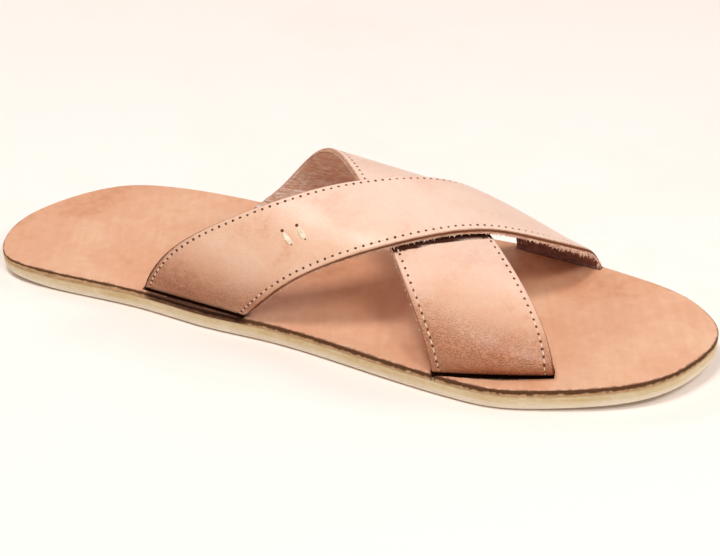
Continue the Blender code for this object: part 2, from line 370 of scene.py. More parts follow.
    def _fibres(self) -> bpy.types.NodeTree:
        """Loose fibres of cut or split hide, drawn out along the first axis of the place."""
        sockets = {"Place": "Vector", "Scale": "Float", "Light": "Color", "Dark": "Color"}
        nodes, given, result = self._group("hide_fibres", sockets, {"Colour": "Color", "Height": "Float"})
        place, scale = given.outputs["Place"], given.outputs["Scale"]
        drawn = nodes.vector("MULTIPLY", {0: place, 1: (self.fibre_stretch, 1.0, 1.0)})
        strands = nodes.noise(drawn, scale, 6.0, 0.68, 0.6)
        specks = nodes.noise(place, nodes.calc("MULTIPLY", scale, self.speck_ratio), 4.0, 0.6)
        height = nodes.weigh(self.strand_share, strands, specks)
        tone = nodes.blend(nodes.spread(height, 0.36, 0.62), given.outputs["Dark"], given.outputs["Light"])
        nodes.feed(result.inputs["Colour"], tone)
        nodes.feed(result.inputs["Height"], height)
        return nodes.tree


class Finish:
    """Start of a finish: a material whose nodes each kind of finish joins in its own way.

    The fields are what the shared helpers read. A kind of finish has those whose helpers it uses.
    """

    name: str
    light: Colour
    middle: Colour
    dark: Colour
    cloud_scale: float
    roughness: float
    gloss_swing: float

    def material(self, effects: Effects) -> bpy.types.Material:
        """Builds the material.

        Args:
            effects: The shared node groups.

        Returns:
            The finished material.
        """
        material = bpy.data.materials.new(self.name)
        material.use_nodes = True
        self.paint(Nodes(material.node_tree), material.node_tree.nodes["Principled BSDF"], effects)
        return material

    def paint(self, nodes: Nodes, shader: bpy.types.Node, effects: Effects) -> None:
        """Joins the finish's nodes to its shader; each kind of finish has its own way.

        Args:
            nodes: The material's nodes.
            shader: The shader among them.
            effects: The shared node groups.
        """
        raise NotImplementedError

    def mottled(self, nodes: Nodes, effects: Effects, place: bpy.types.NodeSocket) -> bpy.types.Node:
        """Places the uneven tone in the finish's own colours."""
        return self.group(nodes, effects.mottle, {
            "Place": place, "Scale": self.cloud_scale, "Light": self.light, "Middle": self.middle, "Dark": self.dark})

    def uneven(self, nodes: Nodes, value: bpy.types.NodeSocket) -> bpy.types.NodeSocket:
        """Roughness that swings about the finish's own, smoother where the value is high."""
        return nodes.spread(value, 0.3, 0.7, self.roughness + self.gloss_swing, self.roughness - self.gloss_swing)

    @staticmethod
    def place(nodes: Nodes) -> bpy.types.NodeSocket:
        """Object coordinates, in metres."""
        return nodes.add("ShaderNodeTexCoord").outputs["Object"]

    @staticmethod
    def read(nodes: Nodes, attribute: str, output: str = "Fac") -> bpy.types.NodeSocket:
        """One of the mesh's own attributes."""
        return nodes.add("ShaderNodeAttribute", attribute_name=attribute).outputs[output]

    @staticmethod
    def group(nodes: Nodes, tree: bpy.types.NodeTree, inputs: dict[str, Any]) -> bpy.types.Node:
        """Places a shared effect with its own values."""
        node = nodes.add("ShaderNodeGroup", node_tree=tree)
        for label, value in inputs.items():
            nodes.feed(node.inputs[label], value)
        return node

    @staticmethod
    def bump(nodes: Nodes, shader: bpy.types.Node, height: Any, depth: float, strength: float = 1.0) -> None:
        """Raises the surface's look by a height, at most the depth in metres."""
        node = nodes.add("ShaderNodeBump", {"Strength": strength, "Distance": depth, "Height": height})
        nodes.feed(shader.inputs["Normal"], node.outputs["Normal"])


@dataclass(frozen=True)
class GrainLeather(Finish):
    """Smooth side of natural leather, stained along its edges, with dirt and painted shade near the slots and, where a
    tint is given, a painted sheen.
    """

    name: str
    light: Colour
    middle: Colour
    dark: Colour
    stain: Colour
    stain_reach: float
    stain_strength: float
    cloud_scale: float
    grain_scale: float
    grain_depth: float
    pebble: float
    roughness: float
    soil_and_shade: Colour
    gloss: float = 0.4
    coat: float = 0.0
    ragged: float = 1.0
    streak: float = 0.0
    # A pale tint mixed in over the instep is a painted sheen.
    sheen_tint: Colour = (1.0, 1.0, 1.0, 1.0)
    sheen_share: float = 0.0
    pore_tint: Colour = colour(246, 236, 228)
    clean_pebble: float = 0.06
    gloss_swing: float = 0.07
    stain_dulling: float = 0.5
    coat_roughness: float = 0.35

    def paint(self, nodes: Nodes, shader: bpy.types.Node, effects: Effects) -> None:
        """Joins the finish's nodes to its shader."""
        place = self.place(nodes)
        hide = self.mottled(nodes, effects, place)
        nodes.feed(hide.inputs["Streak"], self.streak)
        # Darker near the feet: on the straps this is dirt and painted shade, on the insole painted shadow beside the
        # slots; the same share makes the grain more pebbled.
        near_foot = self.read(nodes, "soil_and_shade")
        tone = hide.outputs["Colour"]
        # Painted sheen: the strap is tinted paler over the instep and beyond.
        if self.sheen_share:
            pale = nodes.calc("MULTIPLY", self.read(nodes, "pale"), self.sheen_share)
            tone = nodes.blend(pale, tone, self.sheen_tint)
        soiled_and_shaded = nodes.blend(near_foot, tone, self.soil_and_shade, "MULTIPLY")
        # The edge stain is real dye along the edges; on the straps the distance it reads also brings it over the lowest
        # rows at the lateral foot as painted shade and along a crossing strap's edges as painted shadow.
        edge = self.group(nodes, effects.stain, {
            "Place": place, "Base": soiled_and_shaded, "Stain": self.stain, "Distance": self.read(nodes, "from_edge"),
            "Reach": self.stain_reach, "Ragged": self.ragged, "Strength": self.stain_strength})
        grain = self.group(nodes, effects.grain, {
            "Place": place, "Scale": self.grain_scale,
            "Pebble": nodes.spread(near_foot, 0.2, 0.9, self.clean_pebble * self.pebble, self.pebble)})
        pitted = nodes.blend(nodes.calc("SUBTRACT", 1.0, grain.outputs["Pore"]), edge.outputs["Colour"],
                             self.pore_tint, "MULTIPLY")
        nodes.feed(shader.inputs["Base Color"], pitted)
        dull = nodes.calc("MULTIPLY", edge.outputs["Mask"], self.stain_dulling)
        rough = nodes.calc("ADD", self.uneven(nodes, hide.outputs["Cloud"]), dull, clamp=True)
        nodes.feed(shader.inputs["Roughness"], rough)
        shader.inputs["Specular IOR Level"].default_value = self.gloss
        if self.coat:
            nodes.feed(shader.inputs["Coat Weight"], nodes.spread(edge.outputs["Mask"], 0.0, 0.6, self.coat, 0.0))
        shader.inputs["Coat Roughness"].default_value = self.coat_roughness
        self.bump(nodes, shader, grain.outputs["Height"], self.grain_depth)


@dataclass(frozen=True)
class CutLeather(Finish):
    """Cut edge or split side of leather, where the fibres show."""

    name: str
    light: Colour
    dark: Colour
    scale: float
    depth: float
    roughness: float = 0.85
    gloss: float = 0.0
    along_path: bool = True
    stain: Colour = (0.0, 0.0, 0.0, 1.0)
    stain_reach: float = 0.0
    stain_core: float = 0.0
    shade: Colour = (1.0, 1.0, 1.0, 1.0)
    ply: Colour = (0.0, 0.0, 0.0, 1.0)
    ply_depth: float = 0.0012
    ply_reach: float = 0.0
    wrinkle: float = 0.0
    wrinkle_shade: Colour = (1.0, 1.0, 1.0, 1.0)
    stain_ragged: float = 0.45
    stain_strength: float = 0.9
    ply_core: float = 0.4
    wrinkle_scale: float = 520.0
    wrinkle_stretch: float = 0.3
    gloss_swing: float = 0.08

    def paint(self, nodes: Nodes, shader: bpy.types.Node, effects: Effects) -> None:
        """Joins the finish's nodes to its shader."""
        place = self.read(nodes, "strap_place", "Vector") if self.along_path else self.place(nodes)
        fibres = self.group(nodes, effects.fibres, {
            "Place": place, "Scale": self.scale, "Light": self.light, "Dark": self.dark})
        tone = fibres.outputs["Colour"]
        if self.stain_reach:
            tone = self.group(nodes, effects.stain, {
                "Place": place, "Base": tone, "Stain": self.stain, "Distance": self.read(nodes, "from_top"),
                "Reach": self.stain_reach, "Core": self.stain_core, "Ragged": self.stain_ragged,
                "Strength": self.stain_strength}).outputs["Colour"]
        height = fibres.outputs["Height"]
        if self.ply_reach:
            depth = nodes.add("ShaderNodeSeparateXYZ", {0: place}).outputs["Z"]
            away = nodes.calc("ABSOLUTE", nodes.calc("SUBTRACT", depth, self.ply_depth))
            line = nodes.spread(away, self.ply_core * self.ply_reach, self.ply_reach, 1.0, 0.0)
            tone = nodes.blend(nodes.calc("MULTIPLY", line, self.read(nodes, "seam")), tone, self.ply)
        if self.wrinkle:
            drawn = nodes.vector("MULTIPLY", {0: place, 1: (1.0, self.wrinkle_stretch, 1.0)})
            folds = nodes.noise(drawn, self.wrinkle_scale, 3.0, 0.55, 0.9)
            tone = nodes.blend(nodes.spread(folds, 0.62, 0.36), tone, self.wrinkle_shade, "MULTIPLY")
            height = nodes.calc("ADD", nodes.calc("MULTIPLY", folds, self.wrinkle), height)
        # Darker near the feet: painted shade with some dirt on the straps' edges at the lateral foot, painted shade on
        # the inside at the medial foot, and painted shade on the insole's edge beside the slots.
        tone = nodes.blend(self.read(nodes, "soil_and_shade"), tone, self.shade, "MULTIPLY")
        nodes.feed(shader.inputs["Base Color"], tone)
        nodes.feed(shader.inputs["Roughness"], self.uneven(nodes, fibres.outputs["Height"]))
        shader.inputs["Specular IOR Level"].default_value = self.gloss
        self.bump(nodes, shader, height, self.depth)


@dataclass(frozen=True)
class CrepeRubber(Finish):
    """Honey-coloured crepe: cloudy, a little translucent, with drawn-out streaks."""

    name: str
    light: Colour
    middle: Colour
    dark: Colour
    streak: Colour
    top_shade: Colour
    foot: Colour
    roughness: float
    cloud_scale: float = 70.0
    streak_scale: float = 190.0
    streak_flatness: float = 6.0
    streak_share: float = 0.8
    top_shade_reach: float = 0.0009
    top_shade_strength: float = 0.35
    foot_depths: tuple[float, float] = (0.0015, 0.0048)
    foot_share: float = 0.75
    gloss_swing: float = 0.08
    glow: float = 0.25
    glow_radius: tuple[float, float, float] = (1.0, 0.7, 0.35)
    glow_depth: float = 0.002
    wrinkle_scale: float = 900.0
    wrinkle_depth: float = 0.00018

    def paint(self, nodes: Nodes, shader: bpy.types.Node, effects: Effects) -> None:
        """Joins the finish's nodes to its shader."""
        place = self.place(nodes)
        cloud = self.mottled(nodes, effects, place)
        flat = nodes.vector("MULTIPLY", {0: place, 1: (1.0, 1.0, self.streak_flatness)})
        streaks = self.group(nodes, effects.fibres, {
            "Place": flat, "Scale": self.streak_scale, "Light": (1.0, 1.0, 1.0, 1.0), "Dark": self.streak})
        toned = nodes.blend(self.streak_share, cloud.outputs["Colour"], streaks.outputs["Colour"], "MULTIPLY")
        # Painted shade under the insole's overhanging edge: the side darkens towards the top.
        shaded_top = self.group(nodes, effects.stain, {
            "Place": place, "Base": toned, "Stain": self.top_shade, "Distance": self.read(nodes, "from_top"),
            "Reach": self.top_shade_reach, "Ragged": 1.0, "Strength": self.top_shade_strength})
        low = nodes.spread(self.read(nodes, "from_top"), *self.foot_depths, 0.0, self.foot_share)
        nodes.feed(shader.inputs["Base Color"], nodes.blend(low, shaded_top.outputs["Colour"], self.foot))
        nodes.feed(shader.inputs["Roughness"], self.uneven(nodes, cloud.outputs["Cloud"]))
        shader.inputs["Subsurface Weight"].default_value = self.glow
        shader.inputs["Subsurface Radius"].default_value = self.glow_radius
        shader.inputs["Subsurface Scale"].default_value = self.glow_depth
        wrinkles = nodes.calc("ADD", streaks.outputs["Height"], nodes.noise(place, self.wrinkle_scale, 3.0))
        self.bump(nodes, shader, wrinkles, self.wrinkle_depth)


@dataclass(frozen=True)
class SewingThread(Finish):
    """Twisted thread, or a flat disc painted with the shade inside a needle hole."""

    name: str
    light: Colour
    middle: Colour
    dark: Colour
    roughness: float
    twist: float
    cloud_scale: float = 260.0
    twist_scale: float = 700.0
    twist_bend: float = 1.5

    def paint(self, nodes: Nodes, shader: bpy.types.Node, effects: Effects) -> None:
        """Joins the finish's nodes to its shader."""
        place = self.place(nodes)
        tone = self.mottled(nodes, effects, place)
        nodes.feed(shader.inputs["Base Color"], tone.outputs["Colour"])
        shader.inputs["Roughness"].default_value = self.roughness
        twist = nodes.add("ShaderNodeTexWave", {
            "Vector": place, "Scale": self.twist_scale, "Distortion": self.twist_bend, "Detail": 2.0},
            bands_direction="DIAGONAL")
        self.bump(nodes, shader, twist.outputs["Fac"], self.twist)


@dataclass(frozen=True)
class PaleFloor(Finish):
    """Plain pale studio floor with a faint cloud in it."""

    name: str
    light: Colour
    middle: Colour
    dark: Colour
    cloud_scale: float = 2.0
    roughness: float = 0.9
    gloss: float = 0.1

    def paint(self, nodes: Nodes, shader: bpy.types.Node, effects: Effects) -> None:
        """Joins the finish's nodes to its shader."""
        tone = self.mottled(nodes, effects, self.place(nodes))
        nodes.feed(shader.inputs["Base Color"], tone.outputs["Colour"])
        shader.inputs["Roughness"].default_value = self.roughness
        shader.inputs["Specular IOR Level"].default_value = self.gloss


# The strap grain's stain colour also paints the shade at the lateral foot and the shadow along the crossing strap's
# edges; its colour near the feet is dirt with painted shade; its pale tint is a painted sheen.
STRAP_GRAIN = GrainLeather(
    name="strap_grain", light=colour(247, 205, 177), middle=colour(242, 194, 163), dark=colour(230, 173, 139),
    stain=colour(62, 28, 17), stain_reach=0.00055, stain_strength=1.0, cloud_scale=48.0, grain_scale=820.0,
    grain_depth=0.00045, pebble=0.9, roughness=0.38, soil_and_shade=colour(204, 166, 143), gloss=0.1,
    coat=0.4, ragged=0.35, sheen_tint=colour(240, 212, 200), sheen_share=0.5)
STRAP_EDGE = CutLeather(
    name="strap_cut_edge", light=colour(236, 192, 164), dark=colour(172, 120, 92), scale=1300.0, depth=0.0004,
    shade=colour(176, 134, 108), ply=colour(126, 78, 56), ply_depth=0.0008, ply_reach=0.0007)
STRAP_FLESH = CutLeather(
    name="strap_flesh_side", light=colour(255, 243, 233), dark=colour(240, 206, 188), scale=620.0, depth=0.0012,
    shade=colour(174, 146, 146), wrinkle=1.4, wrinkle_shade=colour(236, 214, 202))
# Near the slots the insole grain and the insole edge take on painted shadow from the straps' feet.
INSOLE_GRAIN = GrainLeather(
    name="insole_grain", light=colour(233, 183, 149), middle=colour(225, 167, 132), dark=colour(211, 146, 108),
    stain=colour(92, 50, 28), stain_reach=0.0009, stain_strength=0.9, cloud_scale=24.0, grain_scale=1300.0,
    grain_depth=0.00010, pebble=0.3, roughness=0.46, soil_and_shade=colour(38, 21, 15), streak=0.15)
INSOLE_EDGE = CutLeather(
    name="insole_stained_edge", light=colour(222, 182, 140), dark=colour(178, 134, 96), scale=1300.0, depth=0.0003,
    roughness=0.6, gloss=0.06, along_path=False, stain=colour(74, 37, 13), stain_reach=0.0022, stain_core=0.6,
    shade=colour(110, 84, 72))
# The crepe's side is darker towards the top: painted shade under the insole's edge.
CREPE = CrepeRubber(
    name="honey_crepe", light=colour(236, 221, 190), middle=colour(229, 208, 168), dark=colour(217, 188, 140),
    streak=colour(240, 222, 188), top_shade=colour(190, 146, 98), foot=colour(250, 240, 224), roughness=0.6)
THREAD = SewingThread(
    name="sewing_thread", light=colour(247, 224, 201), middle=colour(241, 210, 184), dark=colour(227, 188, 160),
    roughness=0.6, twist=0.0001)
# Needle holes are flat discs painted with the shade inside a hole.
NEEDLE_HOLE = SewingThread(
    name="needle_hole", light=colour(118, 66, 42), middle=colour(92, 48, 30), dark=colour(66, 32, 20),
    roughness=0.9, twist=0.0)
FIBRE = SewingThread(
    name="loose_fibre", light=colour(255, 232, 214), middle=colour(244, 206, 182), dark=colour(206, 158, 132),
    roughness=0.8, twist=0.0)
TACK_THREAD = SewingThread(
    name="tack_thread", light=colour(255, 247, 226), middle=colour(252, 238, 208), dark=colour(232, 208, 168),
    roughness=0.5, twist=0.00012)
FLOOR = PaleFloor(
    name="studio_floor", light=colour(252, 240, 232), middle=colour(252, 240, 232), dark=colour(249, 236, 227))


class Bench:
    """Turns points and faces into finished pieces on the sandal's body."""

    body: str = "root"

    def __init__(self, plan: "SolePlan") -> None:
        """Keeps the plan that sets points about the origin, and builds the shared effects."""
        self.plan = plan
        self.effects = Effects()

    def metres(self, points: np.ndarray) -> np.ndarray:
        """Points of the tables as metres in the part's frame."""
        shift = (self.plan.length / 2.0, self.plan.centre_across, 0.0)
        return (np.asarray(points, float) - shift) * MM

    def mesh(self, name: str, points: np.ndarray, faces: list[list[int]], edges: Any = ()) -> bpy.types.Object:
        """Makes a mesh object.

        Args:
            name: Name of the object.
            points: Points in the tables' millimetres.
            faces: Corners of each face.
            edges: Loose edges, for a sewing line.

        Returns:
            The object, linked to the scene.
        """
        mesh = bpy.data.meshes.new(name)
        mesh.from_pydata(self.metres(points).tolist(), list(edges), faces)
        mesh.update()
        piece = bpy.data.objects.new(name, mesh)
        bpy.context.scene.collection.objects.link(piece)
        return piece

    @staticmethod
    def outward(piece: bpy.types.Object) -> None:
        """Turns a closed mesh's faces outwards."""
        shape = bmesh.new()
        shape.from_mesh(piece.data)
        bmesh.ops.recalc_face_normals(shape, faces=shape.faces)
        shape.to_mesh(piece.data)
        shape.free()

    @staticmethod
    def attribute(piece: bpy.types.Object, name: str, values: np.ndarray) -> None:
        """Stores a number or a vector at each point of a mesh."""
        values = np.asarray(values, np.float32)
        kind, field_name = ("FLOAT", "value") if values.ndim == 1 else ("FLOAT_VECTOR", "vector")
        layer = piece.data.attributes.new(name, kind, "POINT")
        layer.data.foreach_set(field_name, values.ravel())

    @staticmethod
    def bake(piece: bpy.types.Object) -> None:
        """Makes a piece's modifiers part of its mesh."""
        bpy.context.view_layer.update()
        shown = piece.evaluated_get(bpy.context.evaluated_depsgraph_get())
        mesh = bpy.data.meshes.new_from_object(shown)
        piece.modifiers.clear()
        old, piece.data = piece.data, mesh
        bpy.data.meshes.remove(old)
        mesh.name = piece.name

    def materials(self, *finishes: Finish) -> list[bpy.types.Material]:
        """Builds the materials of some finishes."""
        return [finish.material(self.effects) for finish in finishes]

    @staticmethod
    def dress(piece: bpy.types.Object, materials: list[bpy.types.Material], sharp: float) -> None:
        """Gives a piece its materials and smooth shading up to a sharp angle in degrees."""
        for material in materials:
            piece.data.materials.append(material)
        piece.data.shade_smooth()
        piece.data.set_sharp_from_angle(angle=math.radians(sharp))

    def settle(self, piece: bpy.types.Object, node: str = "") -> None:
        """Fixes a finished piece to the body, hides the CAD node it replaces and logs its triangles.

        Args:
            piece: The finished piece.
            node: CAD node that the piece replaces, if any.
        """
        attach(piece, self.body)
        if node:
            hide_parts(node)
        triangles = sum(len(p.vertices) - 2 for p in piece.data.polygons)
        log.info("%s: %d triangles", piece.name, triangles)


@dataclass(frozen=True)
class SolePlan:
    """Plan, heights and toe spring that the sole's layers share."""

    length: float = 280.0
    centre_across: float = -1.5
    outsole_thick: float = 5.5
    glue_line: float = 0.3
    glue_film: float = 0.03
    insole_thick: float = 2.8
    spring: float = 4.0
    spring_start: float = 0.72
    heel_bevel: float = 3.5
    heel_bevel_run: float = 38.0
    heel_end: float = 2.0
    toe_end: float = -6.0
    outline: tuple[tuple[float, float, float], ...] = (
        (6.0, -16.8, 22.5),
        (16.0, -22.0, 36.0),
        (30.0, -24.4, 47.0),
        (48.0, -26.0, 51.3),
        (70.0, -28.8, 51.2),
        (95.0, -34.0, 48.4),
        (120.0, -36.8, 45.8),
        (145.0, -42.0, 45.0),
        (170.0, -48.4, 45.6),
        (190.0, -52.7, 45.2),
        (207.0, -54.7, 42.8),
        (223.0, -52.2, 38.4),
        (240.0, -47.5, 32.2),
        (255.0, -41.5, 25.6),
        (267.0, -32.8, 17.5),
        (275.0, -22.0, 8.0),
    )

    @property
    def insole_bottom(self) -> float:
        """Height of the insole's underside."""
        return self.outsole_thick + self.glue_line

    @property
    def insole_top(self) -> float:
        """Height of the insole's top."""
        return self.insole_bottom + self.insole_thick

    def toe_rise(self, along: np.ndarray) -> np.ndarray:
        """Height that the toe spring adds."""
        share = np.clip((along / self.length - self.spring_start) / (1.0 - self.spring_start), 0.0, None)
        return self.spring * share ** 2

    def heel_rise(self, along: np.ndarray) -> np.ndarray:
        """Height of the outsole's underside above the ground at the heel."""
        return self.heel_bevel * np.clip(1.0 - along / self.heel_bevel_run, 0.0, None) ** 2

    def rim(self, steps: int) -> np.ndarray:
        """Points round the insole's edge.

        Args:
            steps: Number of points, an even one.

        Returns:
            Along and across, from the heel along the lateral side to the toe and back.
        """
        turn = [math.acos(1.0 - 2.0 * row[0] / self.length) for row in self.outline]
        whole = 2.0 * math.pi
        knots = [0.0] + turn + [math.pi] + [whole - t for t in reversed(turn)]
        lateral = [row[1] for row in self.outline]
        medial = [row[2] for row in reversed(self.outline)]
        across = [self.heel_end] + lateral + [self.toe_end] + medial
        wrapped = [k - whole for k in knots[-4:]] + knots + [k + whole for k in knots[:4]]
        at = whole * np.arange(steps) / steps
        y = natural_spline(wrapped, across[-4:] + across + across[:4], at)
        return np.column_stack([0.5 * self.length * (1.0 - np.cos(at)), y])

    @staticmethod
    def inset(rim: np.ndarray, distance: float) -> np.ndarray:
        """A rim moved inwards by a distance."""
        tangent = unit(np.roll(rim, -1, axis=0) - np.roll(rim, 1, axis=0))
        return rim + np.column_stack([-tangent[:, 1], tangent[:, 0]]) * distance


@dataclass
class SoleLayer:
    """A layer of the sole: a shaped side between two gridded faces."""

    name: str
    bottom: float
    top: float
    side: tuple[tuple[float, float], ...]
    bevelled: bool
    steps: int = 480
    columns: int = 26

    def lift(self, points: np.ndarray, share: np.ndarray) -> np.ndarray:
        """Hook for a layer's own unevenness; a plain layer has none."""
        return points

    def build(self, bench: Bench) -> tuple[bpy.types.Object, np.ndarray, np.ndarray]:
        """Builds the layer's closed mesh.

        Args:
            bench: Where meshes are made.

        Returns:
            The object, its points in millimetres and each point's share of the thickness.
        """
        plan = bench.plan
        rim = plan.rim(self.steps)
        rings = [(plan.inset(rim, distance), share) for distance, share in self.side]
        plans = [ring for ring, _ in rings]
        shares = [np.full(self.steps, share) for _, share in rings]
        faces = tube_faces(len(rings), self.steps, closed=False)
        first = len(rings) * self.steps
        for ring_index in (0, len(rings) - 1):
            grid, cap = self.face_grid(rings[ring_index][0], ring_index * self.steps, first)
            plans.append(grid)
            shares.append(np.full(len(grid), rings[ring_index][1]))
            faces += cap
            first += len(grid)
        flat, share = np.vstack(plans), np.concatenate(shares)
        low = self.bottom + plan.toe_rise(flat[:, 0])
        if self.bevelled:
            low = low + plan.heel_rise(flat[:, 0])
        high = self.top + plan.toe_rise(flat[:, 0])
        points = self.lift(np.column_stack([flat, low + share * (high - low)]), share)
        piece = bench.mesh(self.name, points, faces)
        bench.outward(piece)
        return piece, points, share

    def face_grid(self, ring: np.ndarray, rim_at: int, first: int) -> tuple[np.ndarray, list[list[int]]]:
        """Fills a ring with a grid of small faces.

        Args:
            ring: Along and across of the ring's points.
            rim_at: Number of the ring's first point in the mesh.
            first: Number that the grid's first new point gets.

        Returns:
            The new points and the faces.
        """
        half = self.steps // 2
        shares = np.arange(1, self.columns) / self.columns
        shares = 0.5 - 0.5 * np.cos(math.pi * shares)
        points = []
        rows: list[list[int]] = []
        for k in range(half + 1):
            other = (self.steps - k) % self.steps
            if k in (0, half):
                rows.append([rim_at + k] * (self.columns + 1))
                continue
            start = first + len(points)
            points += list(ring[k] + (ring[other] - ring[k]) * shares[:, None])
            rows.append([rim_at + k] + list(range(start, start + self.columns - 1)) + [rim_at + other])
        faces = []
        for before, after in zip(rows, rows[1:]):
            for c in range(self.columns):
                corners = dict.fromkeys([before[c], before[c + 1], after[c + 1], after[c]])
                faces.append(list(corners))
        return np.array(points), faces


@dataclass
class CrepeOutsole(SoleLayer):
    """Crepe outsole with a slightly wavy cut side. The two waves are a scale and a seed each."""

    wave: float = 0.16
    side_shares: tuple[float, float] = (0.02, 0.98)
    middle: tuple[float, float, float] = (140.0, 0.0, 0.0)
    wave_flatness: float = 2.5
    broad_wave: tuple[float, float] = (0.16, 3.7)
    fine_wave: tuple[float, float] = (0.55, 9.1)

    def lift(self, points: np.ndarray, share: np.ndarray) -> np.ndarray:
        """Pushes the side in and out a little, as cut crepe is."""
        moved = points.copy()
        low, high = self.side_shares
        on_side = (share > low) & (share < high)
        away = unit((points - self.middle) * (1.0, 1.0, 0.0))
        broad = ripple(points * (1.0, 1.0, self.wave_flatness), *self.broad_wave)
        push = self.wave * broad + 0.5 * self.wave * ripple(points, *self.fine_wave)
        moved[on_side] -= (away * np.abs(push)[:, None])[on_side]
        return moved

    def make(self, bench: Bench) -> None:
        """Builds and dresses the outsole.

        Args:
            bench: Where meshes are made.
        """
        piece, _, share = self.build(bench)
        bench.attribute(piece, "from_top", (1.0 - share) * (self.top - self.bottom) * MM)
        bench.dress(piece, bench.materials(CREPE), sharp=60.0)
        bench.settle(piece, "outsole")


@dataclass
class LeatherInsole(SoleLayer):
    """Leather insole with a stained edge and four slots for the straps."""

    undulation: float = 0.10
    undulation_scale: float = 0.035
    top_share: float = 0.9
    top_facing: float = 0.75
    thin_stain: float = 110.0
    shadow_trim: float = 2.0
    shadow_inward: float = 2.5
    shadow_past: float = 6.0
    seed: float = 5.2

    def lift(self, points: np.ndarray, share: np.ndarray) -> np.ndarray:
        """Lets the top lie a little uneven, as a leather board does."""
        moved = points.copy()
        top = share > self.top_share
        flat = points[top] * (1.0, 1.0, 0.0)
        moved[top, 2] += self.undulation * ripple(flat, self.undulation_scale, self.seed)
        return moved

    def soil_and_shade(self, points: np.ndarray, straps: list["Strap"]) -> np.ndarray:
        """How much painted shadow each point gets beside the slots, from 0 to 1.

        Args:
            points: Points in millimetres.
            straps: The straps whose feet cast the painted shadow on the outer sides of their slots.

        Returns:
            One value for each point.
        """
        found = np.zeros(len(points))
        for strap in straps:
            for side in Side:
                start, end = (np.array(p) for p in strap.slots[side.value])
                length = np.linalg.norm(end - start)
                run = (end - start) / length
                on = (points[:, :2] - start) @ run
                inward = (points[:, :2] - start) @ np.array([-run[1], run[0]]) * side.sign
                past = np.maximum(np.maximum(self.shadow_trim - on, on - length + self.shadow_trim), 0.0)
                beside = np.where(inward > 0.0, self.shadow_inward * inward, inward)
                away = np.hypot(beside, self.shadow_past * past) - 0.5 * strap.thick
                found = np.maximum(found, eased(1.0 - away / strap.slot_shadow[side.value]))
        return found

    def make(self, bench: Bench, cutters: list[bpy.types.Object], straps: list["Strap"]) -> None:
        """Builds the insole, cuts its slots and dresses it.

        Args:
            bench: Where meshes are made.
            cutters: Solids that leave the slots.
            straps: The straps that pass through it.
        """
        piece, points, share = self.build(bench)
        rim = bench.plan.rim(self.steps)
        away = np.array([np.min(np.linalg.norm(rim - p[:2], axis=1)) for p in points])
        away[share < self.top_share] = 0.0
        bench.attribute(piece, "from_edge", away * MM)
        # The edge's stain narrows towards the heel's end.
        heel_narrowing = 1.0 + np.clip(1.0 - points[:, 0] / self.thin_stain, 0.0, 1.0)
        bench.attribute(piece, "from_top", heel_narrowing * (1.0 - share) * (self.top - self.bottom) * MM)
        # Painted shadow beside the slots, where the straps' feet hang over the insole.
        bench.attribute(piece, "soil_and_shade", self.soil_and_shade(points, straps))
        for cutter in cutters:
            change = piece.modifiers.new(cutter.name, "BOOLEAN")
            change.operation = "DIFFERENCE"
            change.object = cutter
            change.solver = "EXACT"
        bench.bake(piece)
        for cutter in cutters:
            bpy.data.objects.remove(cutter, do_unlink=True)
        bench.dress(piece, bench.materials(INSOLE_GRAIN, INSOLE_EDGE), sharp=50.0)
        for polygon in piece.data.polygons:
            polygon.material_index = (Face.GRAIN if polygon.normal.z > self.top_facing else Face.EDGE).value
        bench.settle(piece, "insole")


@dataclass(frozen=True)
class Last:
    """Inside shape of the straps over the foot."""

    tuck_share: float = 0.10
    reach: tuple[float, float] = (50.0, 250.0)
    sections: tuple[tuple[float, ...], ...] = (
        (70.0, 57.5, 7.0, -26.4, 46.0, 2.0, 2.0, 11.0),
        (110.0, 49.0, 5.5, -34.3, 43.2, 1.9, 2.0, 10.0),
        (150.0, 40.8, 2.0, -42.0, 43.0, 1.9, 2.0, 9.5),
        (190.0, 31.3, -1.0, -50.2, 41.5, 1.7, 1.8, 8.0),
        (230.0, 13.0, -5.0, -42.6, 32.2, 1.4, 1.5, 5.5),
    )

    def read(self, column: LastColumn, along: np.ndarray) -> np.ndarray:
        """One column of the table, read along the sole."""
        stations = [row[0] for row in self.sections]
        values = [row[column.value] for row in self.sections]
        return natural_spline(stations, values, np.clip(along, *self.reach))


@dataclass
class StrapSheet:
    """Fine middle layer of a strap with what is measured on it, in millimetres."""

    middle: np.ndarray
    normal: np.ndarray
    outward: np.ndarray
    along: np.ndarray
    across: np.ndarray
    width: np.ndarray
    girth: np.ndarray

    @property
    def from_edge(self) -> np.ndarray:
        """Distance of each point from the strap's nearer edge."""
        return np.minimum(self.across, self.width[:, None] - self.across)

    def at(self, along: np.ndarray, across: np.ndarray, height: float) -> tuple[np.ndarray, np.ndarray]:
        """Places on the strap.

        Args:
            along: Path lengths from the lateral end.
            across: Distances from the rear edge, one for each path length.
            height: Height over the middle layer.

        Returns:
            The points and the normals there.
        """
        points, normals = [], []
        for s, v in zip(along, across):
            row = np.clip(np.searchsorted(self.along, s) - 1, 0, len(self.along) - 2)
            share = (s - self.along[row]) / (self.along[row + 1] - self.along[row])
            pair = []
            for r in (row, row + 1):
                spot = [np.interp(v, self.across[r], self.middle[r, :, k]) for k in range(3)]
                facing = [np.interp(v, self.across[r], self.normal[r, :, k]) for k in range(3)]
                pair.append((np.array(spot), np.array(facing)))
            normal = unit(pair[0][1] * (1.0 - share) + pair[1][1] * share)
            points.append(pair[0][0] * (1.0 - share) + pair[1][0] * share + normal * height)
            normals.append(normal)
        return np.array(points), np.array(normals)


